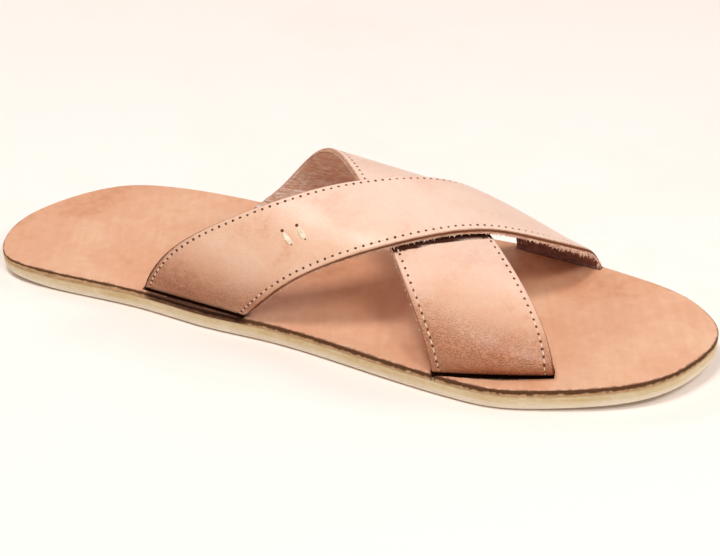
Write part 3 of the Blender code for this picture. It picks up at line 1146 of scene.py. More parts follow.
@dataclass
class Strap:
    """One strap of the upper: its edges, its slots and the shape of its wall.

    Lengths are in millimetres. A row of edges is a share of the girth and where the rear and the front edge lie
    along the sole there. A row of edge_bead is a distance out and a height as a share of half the thickness. A row
    of creases is a share of the girth, a start and an end across, and a depth. A pair is for the rear and the front
    edge (stitch_inset, edge_slant, edge_clean, seam_show, hole_close, slot_gap), for the lateral and the medial end
    (foot_bulge, slot_shadow), for the outside and the inside (soil_and_shade_reach), or the start and the end of a
    change. A wave is a height, a scale and a seed. Near the lateral foot the grain gets dirt and painted shade, and
    the inside near the medial foot painted shade; beside each slot the insole gets painted shadow, the lip a painted
    sheen, and the edge stain paints shade over the lowest rows, along the rear edge at the lateral foot and beside a
    strap that lies over this one; paleness over the instep is a painted sheen.
    """

    name: str
    over: bool
    edges: tuple[tuple[float, float, float], ...]
    slots: tuple[tuple[tuple[float, float], tuple[float, float]], ...]
    thick: float = 2.4
    coarse_columns: int = 10
    arch_rows: int = 40
    tuck_rows: int = 5
    soften_passes: int = 6
    round_passes: int = 0
    round_from: float = 0.74
    rows: int = 190
    middle_columns: int = 16
    edge_lines: tuple[float, ...] = (0.0, 0.25, 0.6, 1.1, 1.7, 2.2, 2.7, 3.2, 3.7, 4.4, 5.4, 6.8)
    edge_bead: tuple[tuple[float, float], ...] = (
        (0.14, 0.62), (0.20, 0.32), (0.04, 0.0), (0.20, -0.32), (0.14, -0.62))
    edge_round: float = 0.26
    round_reach: float = 0.30
    edge_wander: float = 0.10
    wander_scale: float = 0.8
    edge_slant: tuple[float, float] = (0.0, 0.0)
    slant_fade: float = 6.0
    stitch_inset: tuple[float, float] = (2.7, 2.7)
    stitch_groove: float = 0.05
    flesh_groove: float = 0.5
    groove_width: float = 0.5
    grain_wave: tuple[float, float, float] = (0.05, 0.09, 1.3)
    flesh_wave: tuple[float, float, float] = (0.10, 0.22, 6.4)
    cross_girth: float = 0.48
    cross_reach: float = 0.245
    join_depth: float = 0.35
    join_lift: float = 1.2
    join_limit: float = 1.2
    join_girth: float = 0.13
    join_at: float = 0.42
    join_width: float = 0.5
    slot_head: float = 0.06
    slot_depth: float = 2.4
    slot_below: float = 2.0
    slot_margin: float = 0.3
    cover_slant: float = 0.7
    cover_gap: tuple[float, float] = (4.6, 2.6)
    cover_span: tuple[float, float] = (165.0, 200.0)
    slot_gap: tuple[float, float] = (0.0, 0.0)
    foot_curl: float = 0.8
    foot_bulge: tuple[float, float] = (0.8, 0.4)
    bulge_height: float = 1.4
    dark_foot: float = 1.0
    soil_and_shade_reach: tuple[float, float] = (45.0, 0.5)
    lip_sheen: float = 0.0
    lip_shade: float = 0.25
    sheen_girth: tuple[float, float] = (0.24, 0.45)
    seam_show: tuple[float, float] = (1.0, 1.0)
    hole_close: tuple[float, float] = (0.0, 0.0)
    close_girth: tuple[float, float] = (0.5, 0.62)
    slot_shadow: tuple[float, float] = (0.5, 0.5)
    row_crowding: float = 0.55
    edge_clean: tuple[float, float] = (1.0, 1.0)
    edge_faint: float = 0.15
    rear_shade: float = 1.0
    rear_shade_girth: tuple[float, float] = (0.14, 0.28)
    creases: tuple[tuple[float, float, float, float], ...] = ()
    crease_bend: float = 0.02
    crease_turns: float = 9.0
    crease_width: float = 0.006
    crease_fade: float = 0.1
    sheet: StrapSheet = field(init=False)

    def edge(self, front: bool, girth: np.ndarray) -> np.ndarray:
        """Where an edge lies along the sole, at shares of the girth."""
        knots = [row[0] for row in self.edges]
        return natural_spline(knots, [row[2 if front else 1] for row in self.edges], girth)

    def girths(self, last: Last) -> np.ndarray:
        """Girth shares of the coarse rows, closer together where the strap tucks in."""
        tuck = [last.tuck_share * k / self.tuck_rows for k in range(self.tuck_rows)]
        arch = np.linspace(last.tuck_share, 1.0 - last.tuck_share, self.arch_rows + 1)
        return np.array(tuck + list(arch) + [1.0 - t for t in reversed(tuck)])

    def rise(self, girth: np.ndarray, width: float) -> np.ndarray:
        """How far the strap stands off the last to pass over the other one."""
        if not self.over:
            return np.zeros_like(girth)
        reach = np.exp(-((girth - self.cross_girth) / self.cross_reach) ** 4)
        apart = ((girth - self.cross_girth) / self.join_girth) ** 2 + ((width - self.join_at) / self.join_width) ** 2
        return reach * (self.thick + self.join_lift * np.minimum(apart, self.join_limit) - self.join_depth)

    def slot_across(self, side: Side, along: np.ndarray) -> np.ndarray:
        """Across position of a slot's middle line."""
        (x0, y0), (x1, y1) = self.slots[side.value]
        return y0 + (y1 - y0) * (along - x0) / (x1 - x0)

    def column(self, plan: SolePlan, last: Last, along: np.ndarray, girth: np.ndarray, off: np.ndarray) -> np.ndarray:
        """One line of the middle layer from slot to slot.

        Args:
            plan: The sole's plan.
            last: The shape under the strap.
            along: Places along the sole.
            girth: Shares of the girth.
            off: Distances from the last.

        Returns:
            Points in millimetres.
        """
        lateral = girth < 0.5
        edge = np.where(lateral, last.read(LastColumn.LATERAL, along) - off, last.read(LastColumn.MEDIAL, along) + off)
        base = np.where(lateral, self.slot_across(Side.LATERAL, along), self.slot_across(Side.MEDIAL, along))
        full = np.where(lateral, last.read(LastColumn.LATERAL_FULLNESS, along),
                        last.read(LastColumn.MEDIAL_FULLNESS, along))
        ridge, widest = last.read(LastColumn.RIDGE, along), last.read(LastColumn.WIDEST, along)
        climb = np.minimum(girth, 1.0 - girth) / last.tuck_share
        ease = np.sin(0.5 * math.pi * np.minimum(climb, 1.0)) ** self.foot_curl
        turn = math.pi * np.clip((girth - last.tuck_share) / (1.0 - 2.0 * last.tuck_share), 0.0, 1.0)
        y = ridge + (edge - ridge) * np.abs(np.cos(turn)) ** (2.0 / full)
        crown = last.read(LastColumn.HEIGHT, along) + off
        z = widest + (crown - widest) * np.maximum(np.sin(turn), 0.0) ** (2.0 / full)
        y = np.where(climb < 1.0, base + (edge - base) * ease, y)
        z = np.where(climb < 1.0, widest * climb, z)
        line = np.column_stack([along, y, plan.insole_top + z + plan.toe_rise(along)])
        late = int(np.searchsorted(girth, self.round_from))
        for start, passes in ((1, self.soften_passes), (late, self.round_passes)):
            for _ in range(passes):
                line[start:-1] = 0.25 * line[start - 1:-2] + 0.5 * line[start:-1] + 0.25 * line[start + 1:]
        return line

    def coarse(self, plan: SolePlan, last: Last, margin: float = 0.0) -> np.ndarray:
        """The middle layer as the solids have it, with a row at each end below the insole's top.

        Args:
            plan: The sole's plan.
            last: The shape under the straps.
            margin: Width added at each edge.

        Returns:
            A grid of points: rows along the strap, columns across it.
        """
        girth = self.girths(last)
        rear, front = self.edge(False, girth) - margin, self.edge(True, girth) + margin
        columns = []
        for c in range(self.coarse_columns + 1):
            width = c / self.coarse_columns
            along = rear + (front - rear) * width
            columns.append(self.column(plan, last, along, girth, 0.5 * self.thick + self.rise(girth, width)))
        grid = np.array(columns).transpose(1, 0, 2)
        down = [np.array([0.0, 0.0, depth]) for depth in (self.slot_depth, 0.5 * self.slot_depth)]
        return np.concatenate([*(grid[:1] - d for d in down), grid, *(grid[-1:] - d for d in down[::-1])])

    def lay(self, plan: SolePlan, last: Last) -> None:
        """Draws the fine middle layer through the coarse one.

        Args:
            plan: The sole's plan.
            last: The shape under the straps.
        """
        coarse = self.coarse(plan, last)
        centre = coarse[:, self.coarse_columns // 2]
        length = np.concatenate([[0.0], np.cumsum(np.linalg.norm(np.diff(centre, axis=0), axis=1))])
        share = np.linspace(0.0, 1.0, self.rows)
        share -= self.row_crowding * np.sin(2.0 * math.pi * share) / (2.0 * math.pi)
        along = length[-1] * share
        rows = natural_spline(length, coarse, along)
        girth = np.interp(along, length[2:-2], self.girths(last))
        width = np.linalg.norm(np.diff(rows, axis=1), axis=2).sum(axis=1)
        near = np.array(self.edge_lines)
        knots = np.linspace(0.0, 1.0, self.coarse_columns + 1)
        middle, across = [], []
        for row, wide in zip(rows, width):
            inner = np.linspace(near[-1], wide - near[-1], self.middle_columns + 2)[1:-1]
            places = np.concatenate([near, inner, wide - near[::-1]])
            middle.append(natural_spline(knots, row, places / wide))
            across.append(places)
        grid = np.array(middle)
        self.bulge(grid, along)
        outward = unit(np.gradient(grid, axis=1))
        normal = unit(np.cross(outward, np.gradient(grid, axis=0)))
        self.sheet = StrapSheet(grid, normal, outward, along, np.array(across), width, girth)

    def bulge(self, grid: np.ndarray, along: np.ndarray) -> None:
        """Lets the strap swell outwards just above its slots, where it folds down into them.

        Args:
            grid: Points of the middle layer, which are moved.
            along: Path length of each row.
        """
        for side in Side:
            (x0, y0), (x1, y1) = self.slots[side.value]
            away = unit(np.array([y1 - y0, x0 - x1, 0.0])) * side.sign
            above = (along if side is Side.LATERAL else along[-1] - along) - self.slot_depth
            rise = np.clip(above / self.bulge_height, 0.0, None)
            grid += (self.foot_bulge[side.value] * rise * np.exp(1.0 - rise))[:, None, None] * away

    def groove(self, face: Face) -> float:
        """Depth of the stitch groove on a face."""
        return self.stitch_groove * (1.0 if face is Face.GRAIN else self.flesh_groove)

    def relief(self, face: Face) -> np.ndarray:
        """Height of a face over the middle layer: rounded edges, stitch grooves and, on the flesh side, creases."""
        sheet = self.sheet
        height = 0.5 * self.thick - self.edge_round * np.exp(-(sheet.from_edge / self.round_reach) ** 2)
        sides = zip((sheet.across, sheet.width[:, None] - sheet.across), self.stitch_inset)
        height -= self.groove(face) * sum(np.exp(-((side - inset) / self.groove_width) ** 2) for side, inset in sides)
        wave, scale, seed = self.grain_wave if face is Face.GRAIN else self.flesh_wave
        height += wave * ripple(sheet.middle, scale, seed)
        share = sheet.across / sheet.width[:, None]
        bent = self.crease_bend * np.sin(self.crease_turns * share)
        for girth, start, end, depth in self.creases if face is Face.FLESH else ():
            along = (sheet.girth[:, None] - girth - bent) / self.crease_width
            begun, left = (np.clip(part / self.crease_fade, 0.0, 1.0) for part in (share - start, end - share))
            height -= depth * np.exp(-along ** 2) * (begun * left)
        return height

    def soil_and_shade(self, face: Face) -> np.ndarray:
        """How dark each row is, from 0 to 1: dirt and painted shade near the lateral foot outside, and painted shade
        near the medial one inside.
        """
        along = self.sheet.along
        inside = face is Face.FLESH
        away = (along[-1] - along if inside else along) - self.slot_depth
        soil_and_shade = eased(1.0 - away / self.soil_and_shade_reach[int(inside)])
        # Painted sheen on the lip: the darkening thins out towards the slot.
        if self.lip_sheen and not inside:
            soil_and_shade *= np.clip(self.lip_shade + (1.0 - self.lip_shade) * away / self.lip_sheen, 0.0, 1.0)
        return soil_and_shade

    def pale(self) -> np.ndarray:
        """How much painted sheen each row gets as a paler tint, from 0 at the lateral foot to 1 over the instep and
        beyond.
        """
        low, high = self.sheen_girth
        return eased((self.sheet.girth - low) / (high - low))

    def stain(self, cover: "Strap | None") -> np.ndarray:
        """Distance over which the edge stain fades, at each point of the grain side, with painted shade and shadow
        brought in by the same stain.

        Args:
            cover: The strap that lies over this one, if any.

        Returns:
            Distances from the edges, the lateral slot and the cover, made shorter where the stain is wide: near the
            slot, along the rear edge at the lateral foot and beside the cover the stain is painted shade and shadow.
        """
        sheet = self.sheet
        # Painted shade: the stain reaches over the lowest rows above the lateral slot.
        above = np.maximum(sheet.along - self.slot_depth - self.dark_foot, 0.0)
        rear, front = sheet.across, sheet.width[:, None] - sheet.across
        # Painted shade along the rear edge near the lateral foot, where the cut face is turned from the light.
        rear_shading = np.interp(sheet.girth, self.rear_shade_girth, (self.rear_shade, 1.0))[:, None]
        sides = np.minimum(self.edge_clean[0] * rear_shading * rear, self.edge_clean[1] * front) + self.edge_faint * rear_shading
        away = np.minimum(sides, 0.5 * above[:, None])
        return away if cover is None else np.minimum(away, self.from_cover(cover))

    def from_cover(self, cover: "Strap") -> np.ndarray:
        """Distance of each point from a strap that lies over this one, 0 under it; the edge stain paints the cover's
        shadow by it.
        """
        x = self.sheet.middle[:, :, 0]
        ahead = x - cover.edge(True, self.sheet.girth)[:, None]
        behind = cover.edge(False, self.sheet.girth)[:, None] - x
        gap = np.interp(x, self.cover_span, self.cover_gap)
        return self.cover_slant * np.maximum(np.maximum(ahead, behind) - gap, 0.0)

    def lean(self, front: bool, along: np.ndarray) -> np.ndarray:
        """How far the cut of an edge leans out at the flesh side, less and less towards the slots."""
        near = np.minimum(along, self.sheet.along[-1] - along) - self.slot_depth
        return self.edge_slant[int(front)] * np.clip(near / self.slant_fade, 0.0, 1.0)

    def wall(self, bench: Bench, cover: "Strap | None") -> bpy.types.Object:
        """Builds the strap's closed wall with rounded raw edges.

        Args:
            bench: Where meshes are made.
            cover: The strap that lies over this one, if any.

        Returns:
            The strap's object with its faces sorted by finish.
        """
        sheet = self.sheet
        rows, columns = sheet.middle.shape[:2]
        outer = sheet.middle + sheet.normal * self.relief(Face.GRAIN)[:, :, None]
        inner = sheet.middle - sheet.normal * self.relief(Face.FLESH)[:, :, None]
        loop = [outer[:, c] for c in range(columns)]
        kinds = [Face.GRAIN] * (columns - 1)
        across = [sheet.across[:, c] for c in range(columns)]
        for front in (True, False):
            at = -1 if front else 0
            sign = 1.0 if front else -1.0
            bead = self.edge_bead if front else self.edge_bead[::-1]
            wander = self.edge_wander * ripple(sheet.middle[:, at], self.wander_scale, 2.0 + at)
            lean = self.lean(front, sheet.along)
            for out, up in bead:
                push = (sign * (out + wander + 0.5 * (1.0 - up) * lean))[:, None] * sheet.outward[:, at]
                loop.append(sheet.middle[:, at] + push + 0.5 * self.thick * up * sheet.normal[:, at])
                across.append(sheet.across[:, at] + 0.5 * self.thick * (1.0 - up))
            kinds += [Face.EDGE] * (len(bead) + 1)
            if front:
                loop += [inner[:, c] for c in reversed(range(columns))]
                across += [sheet.across[:, c] for c in reversed(range(columns))]
                kinds += [Face.FLESH] * (columns - 1)
        grid = np.stack(loop, axis=1)
        piece = bench.mesh(self.name, grid.reshape(-1, 3), tube_faces(rows, grid.shape[1]))
        slots = [kind.value for kind in kinds] * (rows - 1) + [Face.EDGE.value] * 2
        piece.data.polygons.foreach_set("material_index", slots)
        bench.outward(piece)
        self.mark(bench, piece, np.stack(across, axis=1), cover)
        return piece

    def mark(self, bench: Bench, piece: bpy.types.Object, across: np.ndarray, cover: "Strap | None") -> None:
        """Gives the wall's points what the finishes read: edge stain with painted shade and shadow, dirt and painted
        shade, painted sheen, seam and place on the strap.

        Args:
            bench: Where meshes are made.
            piece: The strap's object.
            across: Distance of each point from the rear edge, by rows and once round.
            cover: The strap that lies over this one, if any.
        """
        sheet = self.sheet
        rows, columns = sheet.middle.shape[:2]
        plain, bead = np.zeros((rows, columns)), np.ones((rows, len(self.edge_bead)))
        outside, inside = (plain + self.soil_and_shade(face)[:, None] for face in (Face.GRAIN, Face.FLESH))
        bead_shade = outside[:, :len(self.edge_bead)]
        round_the_wall = {
            "from_edge": (self.stain(cover) * MM, 0.0 * bead, sheet.from_edge[:, ::-1] * MM, 0.0 * bead),
            "soil_and_shade": (outside, bead_shade, inside, bead_shade),
            "seam": (plain, self.seam_show[1] * bead, plain, self.seam_show[0] * bead)}
        for label, parts in round_the_wall.items():
            bench.attribute(piece, label, np.hstack(parts).ravel())
        # Share of the painted sheen on each row.
        bench.attribute(piece, "pale", np.broadcast_to(self.pale()[:, None], across.shape).ravel())
        down = [0.5 * self.thick * (1.0 - up) for _, up in self.edge_bead]
        depth = np.array([0.0] * columns + down + [self.thick] * columns + down[::-1])
        spots = np.stack(np.broadcast_arrays(sheet.along[:, None], across, depth), axis=2)
        bench.attribute(piece, "strap_place", spots.reshape(-1, 3) * MM)

    def slot_cutters(self, bench: Bench, last: Last) -> list[bpy.types.Object]:
        """Makes two solids that cut the strap's slots in the insole.

        Args:
            bench: Where meshes are made.
            last: The shape under the straps.

        Returns:
            The lateral and the medial cutter.
        """
        grid = self.coarse(bench.plan, last, self.slot_margin)
        low = 2 + int(np.sum(self.girths(last) <= self.slot_head))
        cutters = []
        for side, part in ((Side.LATERAL, grid[:low].copy()), (Side.MEDIAL, grid[-low:].copy())):
            part[0 if side is Side.LATERAL else -1, :, 2] -= self.slot_below
            normal = unit(np.cross(np.gradient(part, axis=1), np.gradient(part, axis=0)))
            half = (0.5 * self.thick + self.slot_margin) * normal
            gap = np.linspace(*self.slot_gap, part.shape[1]) if side is Side.LATERAL else np.zeros(part.shape[1])
            loop = np.concatenate([part + half + gap[None, :, None] * normal, (part - half)[:, ::-1]], axis=1)
            rows, count = loop.shape[:2]
            name = f"{self.name}_{side.name.lower()}_cutter"
            cutter = bench.mesh(name, loop.reshape(-1, 3), tube_faces(rows, count))
            bench.outward(cutter)
            cutters.append(cutter)
        return cutters


@dataclass
class SewingLine:
    """A line that something is repeated along: points in millimetres, normals, how proud and how large it is."""

    points: np.ndarray
    facing: np.ndarray
    proud: np.ndarray
    size: np.ndarray


class PathTree:
    """Geometry Nodes tree that repeats one small shape along sewing lines."""

    def __init__(self, shape: PathShape) -> None:
        """Builds the tree for a shape.

        Args:
            shape: What is repeated.
        """
        self.shape = shape
        self.tree = bpy.data.node_groups.new(f"repeat_{shape.value}", "GeometryNodeTree")
        face = self.tree.interface
        face.new_socket("Lines", in_out="INPUT", socket_type="NodeSocketGeometry")
        self.inputs = {}
        floats = ("Pitch", "Shift", "Lift", "Rise", "Length", "Width", "Height", "Spread", "Vary")
        kinds = dict.fromkeys(floats, "Float") | {"Seed": "Int", "Finish": "Material"}
        for label, kind in kinds.items():
            socket = face.new_socket(label, in_out="INPUT", socket_type=f"NodeSocket{kind}")
            self.inputs[label] = socket.identifier
        face.new_socket("Result", in_out="OUTPUT", socket_type="NodeSocketGeometry")
        self._fill(Nodes(self.tree))

    def _fill(self, nodes: Nodes) -> None:
        """Joins the tree's nodes."""
        given = nodes.add("NodeGroupInput").outputs
        curve = nodes.add("GeometryNodeMeshToCurve", {"Mesh": given["Lines"]}).outputs[0]
        steps = nodes.add("GeometryNodeResampleCurve", {"Curve": curve, "Length": given["Pitch"]}, mode="LENGTH")
        tangent = nodes.add("GeometryNodeInputTangent").outputs[0]
        facing = nodes.named("facing", "FLOAT_VECTOR")
        ahead = nodes.vector("SCALE", {0: tangent, "Scale": given["Shift"]})
        height = nodes.calc("ADD", given["Lift"], nodes.calc("MULTIPLY", nodes.named("proud"), given["Rise"]))
        above = nodes.vector("SCALE", {0: facing, "Scale": height})
        moved = nodes.add("GeometryNodeSetPosition", {
            "Geometry": steps.outputs[0], "Offset": nodes.vector("ADD", {0: ahead, 1: above})}).outputs[0]
        first, second = (facing, tangent) if self.shape is PathShape.FIBRE else (tangent, facing)
        run = nodes.add("FunctionNodeAlignRotationToVector", {"Vector": first}, axis="X").outputs[0]
        stand = nodes.add("FunctionNodeAlignRotationToVector", {"Rotation": run, "Vector": second},
                          axis="Z", pivot_axis="X").outputs[0]
        turn_low = nodes.vector("SCALE", {0: (-1.0, -1.0, -1.0), "Scale": given["Spread"]})
        turn_high = nodes.vector("SCALE", {0: (1.0, 1.0, 1.0), "Scale": given["Spread"]})
        turn = nodes.add("FunctionNodeRandomValue", {0: turn_low, 1: turn_high, "Seed": given["Seed"]},
                         data_type="FLOAT_VECTOR").outputs[0]
        wobble = nodes.add("FunctionNodeEulerToRotation", {0: turn}).outputs[0]
        aim = nodes.add("FunctionNodeRotateRotation", {"Rotation": stand, "Rotate By": wobble},
                        rotation_space="LOCAL").outputs[0]
        size = nodes.add("ShaderNodeCombineXYZ", {0: given["Length"], 1: given["Width"], 2: given["Height"]}).outputs[0]
        small = nodes.vector("SUBTRACT", {0: (1.0, 1.0, 1.0), 1: given["Vary"]})
        large = nodes.vector("ADD", {0: (1.0, 1.0, 1.0), 1: given["Vary"]})
        vary = nodes.add("FunctionNodeRandomValue", {0: small, 1: large, "Seed": given["Seed"]},
                         data_type="FLOAT_VECTOR").outputs[0]
        varied = nodes.vector("MULTIPLY", {0: size, 1: vary})
        scale = nodes.vector("SCALE", {0: varied, "Scale": nodes.named("size")})
        placed = nodes.add("GeometryNodeInstanceOnPoints", {
            "Points": moved, "Instance": self._unit_shape(nodes), "Rotation": aim, "Scale": scale}).outputs[0]
        whole = nodes.add("GeometryNodeRealizeInstances", {"Geometry": placed}).outputs[0]
        dressed = nodes.add("GeometryNodeSetMaterial", {"Geometry": whole, "Material": given["Finish"]}).outputs[0]
        nodes.add("NodeGroupOutput", {0: dressed})

    def _unit_shape(self, nodes: Nodes) -> bpy.types.NodeSocket:
        """The shape that is repeated, one long and one wide."""
        if self.shape is PathShape.THREAD:
            return nodes.add("GeometryNodeMeshUVSphere", {"Segments": 6, "Rings": 5, "Radius": 0.5}).outputs[0]
        if self.shape is PathShape.HOLE:
            return nodes.add("GeometryNodeMeshCircle", {"Vertices": 10, "Radius": 0.5}, fill_type="NGON").outputs[0]
        cone = nodes.add("GeometryNodeMeshCone", {
            "Vertices": 4, "Radius Top": 0.1, "Radius Bottom": 0.5, "Depth": 1.0}).outputs[0]
        return nodes.add("GeometryNodeTransform", {"Geometry": cone, "Rotation": (0.0, 0.5 * math.pi, 0.0)}).outputs[0]

    def run(self, bench: Bench, name: str, lines: list["SewingLine"], sizes: dict[str, Any]) -> bpy.types.Object:
        """Repeats the shape along lines.

        Args:
            bench: Where meshes are made.
            name: Name of the piece.
            lines: The lines to follow.
            sizes: Values of the tree's inputs, by name.

        Returns:
            The finished object.
        """
        points = np.vstack([line.points for line in lines])
        edges, first = [], 0
        for line in lines:
            edges += [(first + k, first + k + 1) for k in range(len(line.points) - 1)]
            first += len(line.points)
        piece = bench.mesh(name, points, [], edges)
        bench.attribute(piece, "facing", np.vstack([line.facing for line in lines]))
        bench.attribute(piece, "proud", np.concatenate([line.proud for line in lines]))
        bench.attribute(piece, "size", np.concatenate([line.size for line in lines]))
        change = piece.modifiers.new(self.tree.name, "NODES")
        change.node_group = self.tree
        for label, value in sizes.items():
            change[self.inputs[label]] = value
        bench.bake(piece)
        piece.data.shade_smooth()
        return piece


@dataclass
class Stitching:
    """Lockstitch along every strap edge, with needle holes as flat discs of painted shade, and fibres that fray from
    the raw edges.
    """

    pitch: float = 2.9
    thread_length: float = 1.9
    thread_width: float = 0.60
    thread_height: float = 0.40
    thread_sunk: float = -0.09
    thread_rise: float = 0.17
    thread_spread: float = 0.06
    thread_vary: float = 0.14
    hole_width: float = 1.0
    hole_lift: float = 0.05
    hole_spread: float = 0.04
    hole_vary: float = 0.12
    proud_reach: float = 16.0
    end_gap: float = 1.2
    cover_margin: float = 0.5
    samples: int = 150
    fewest: int = 6
    seed: int = 7
    fibre_size: tuple[float, float] = (0.75, 0.36)
    fibre_pitch: float = 0.45
    fibre_sunk: float = -0.25
    fibre_spread: float = 1.3
    fibre_vary: float = 0.75
    fringe_size: tuple[float, float] = (1.1, 0.5)
    fringe_depths: tuple[float, ...] = (-0.5, -0.8, -1.1)

    def span(self, strap: Strap, start: float, end: float) -> tuple[np.ndarray, np.ndarray, np.ndarray]:
        """Path lengths between two shares of a strap, with its width and girth there."""
        sheet = strap.sheet
        low = strap.slot_depth + self.end_gap
        high = sheet.along[-1] - low
        along = low + (high - low) * np.linspace(start, end, self.samples)
        return along, np.interp(along, sheet.along, sheet.width), np.interp(along, sheet.along, sheet.girth)

    def lines(self, strap: Strap, face: Face, cover: "Strap | None") -> list[SewingLine]:
        """Sewing lines on one face of a strap.

        Args:
            strap: The strap.
            face: Its grain or flesh side.
            cover: The strap that hides part of the lines, if any.

        Returns:
            Each visible stretch.
        """
        sheet = strap.sheet
        along, wide, girth = self.span(strap, 0.0, 1.0)
        sign = 1.0 if face is Face.GRAIN else -1.0
        near = np.minimum(along, sheet.along[-1] - along) - strap.slot_depth
        proud = np.clip(1.0 - near / self.proud_reach, 0.0, 1.0) ** 0.5 * (face is Face.GRAIN)
        found = []
        for front in (False, True):
            inset = strap.stitch_inset[int(front)]
            across = wide - inset if front else np.full_like(wide, inset)
            points, normals = sheet.at(along, across, sign * (0.5 * strap.thick - strap.groove(face)))
            seen = np.ones(len(along), bool)
            if cover is not None:
                seen = points[:, 0] < cover.edge(False, girth) - self.cover_margin
                seen |= points[:, 0] > cover.edge(True, girth) + self.cover_margin
            late = np.clip((girth - strap.close_girth[0]) / np.diff(strap.close_girth), 0.0, 1.0)
            size = 1.0 - strap.hole_close[int(front)] * late
            breaks = np.flatnonzero(np.diff(seen.astype(int))) + 1
            for stretch in np.split(np.arange(len(along)), breaks):
                if seen[stretch[0]] and len(stretch) > self.fewest:
                    found.append(SewingLine(points[stretch], sign * normals[stretch], proud[stretch], size[stretch]))
        return found

    def fray(self, strap: Strap, front: bool, start: float, end: float, depth: float) -> SewingLine:
        """Line along a raw edge that fibres stand out from.

        Args:
            strap: The strap.
            front: Whether the edge is the front one.
            start: Share of the strap's length where the line starts.
            end: Share where it ends.
            depth: Height of the line over the middle layer, negative towards the flesh side.

        Returns:
            The line, facing out of the edge and down.
        """
        along, wide, _ = self.span(strap, start, end)
        points, normals = strap.sheet.at(along, wide if front else np.zeros_like(wide), depth)
        inside, _ = strap.sheet.at(along, wide - 1.0 if front else np.ones_like(wide), depth)
        out = unit(points - inside)
        points = points + ((0.5 - depth / strap.thick) * strap.lean(front, along))[:, None] * out
        return SewingLine(points, unit(out - normals), np.zeros(len(along)), np.ones(len(along)))

    def sew(self, bench: Bench, strap: Strap, trees: dict[PathShape, PathTree],
            covers: dict[Face, "Strap | None"]) -> None:
        """Sews one strap.

        Args:
            bench: Where meshes are made.
            strap: The strap to sew.
            trees: One tree for each shape.
            covers: The strap that hides part of each face's lines.
        """
        grain = self.lines(strap, Face.GRAIN, covers[Face.GRAIN])
        flesh = self.lines(strap, Face.FLESH, covers[Face.FLESH])
        thread = trees[PathShape.THREAD].run(bench, f"{strap.name}_thread", grain + flesh, {
            "Pitch": self.pitch * MM, "Shift": 0.5 * self.pitch * MM, "Lift": self.thread_sunk * MM,
            "Rise": self.thread_rise * MM, "Length": self.thread_length * MM, "Width": self.thread_width * MM,
            "Height": self.thread_height * MM, "Spread": self.thread_spread, "Vary": self.thread_vary,
            "Seed": self.seed, "Finish": THREAD.material(bench.effects)})
        # The needle holes are flat discs painted with the shade inside a hole.
        holes = trees[PathShape.HOLE].run(bench, f"{strap.name}_needle_holes", grain, {
            "Pitch": self.pitch * MM, "Shift": 0.0, "Lift": self.hole_lift * MM, "Rise": 0.0,
            "Length": self.hole_width * MM, "Width": self.hole_width * MM, "Height": 1.0,
            "Spread": self.hole_spread, "Vary": self.hole_vary, "Seed": self.seed + 1,
            "Finish": NEEDLE_HOLE.material(bench.effects)})
        for piece in (thread, holes):
            bench.settle(piece)

    def frayed(self, bench: Bench, name: str, tree: PathTree, lines: list[SewingLine],
               length: float, width: float) -> None:
        """Sets loose fibres along raw edges.

        Args:
            bench: Where meshes are made.
            name: Name of the piece.
            tree: The tree that repeats a fibre.
            lines: Edges to follow.
            length: Length of a fibre.
            width: Its width.
        """
        piece = tree.run(bench, name, lines, {
            "Pitch": self.fibre_pitch * MM, "Shift": 0.0, "Lift": self.fibre_sunk * MM, "Rise": 0.0,
            "Length": length * MM, "Width": width * MM, "Height": width * MM, "Spread": self.fibre_spread,
            "Vary": self.fibre_vary, "Seed": self.seed + 2, "Finish": FIBRE.material(bench.effects)})
        bench.settle(piece)


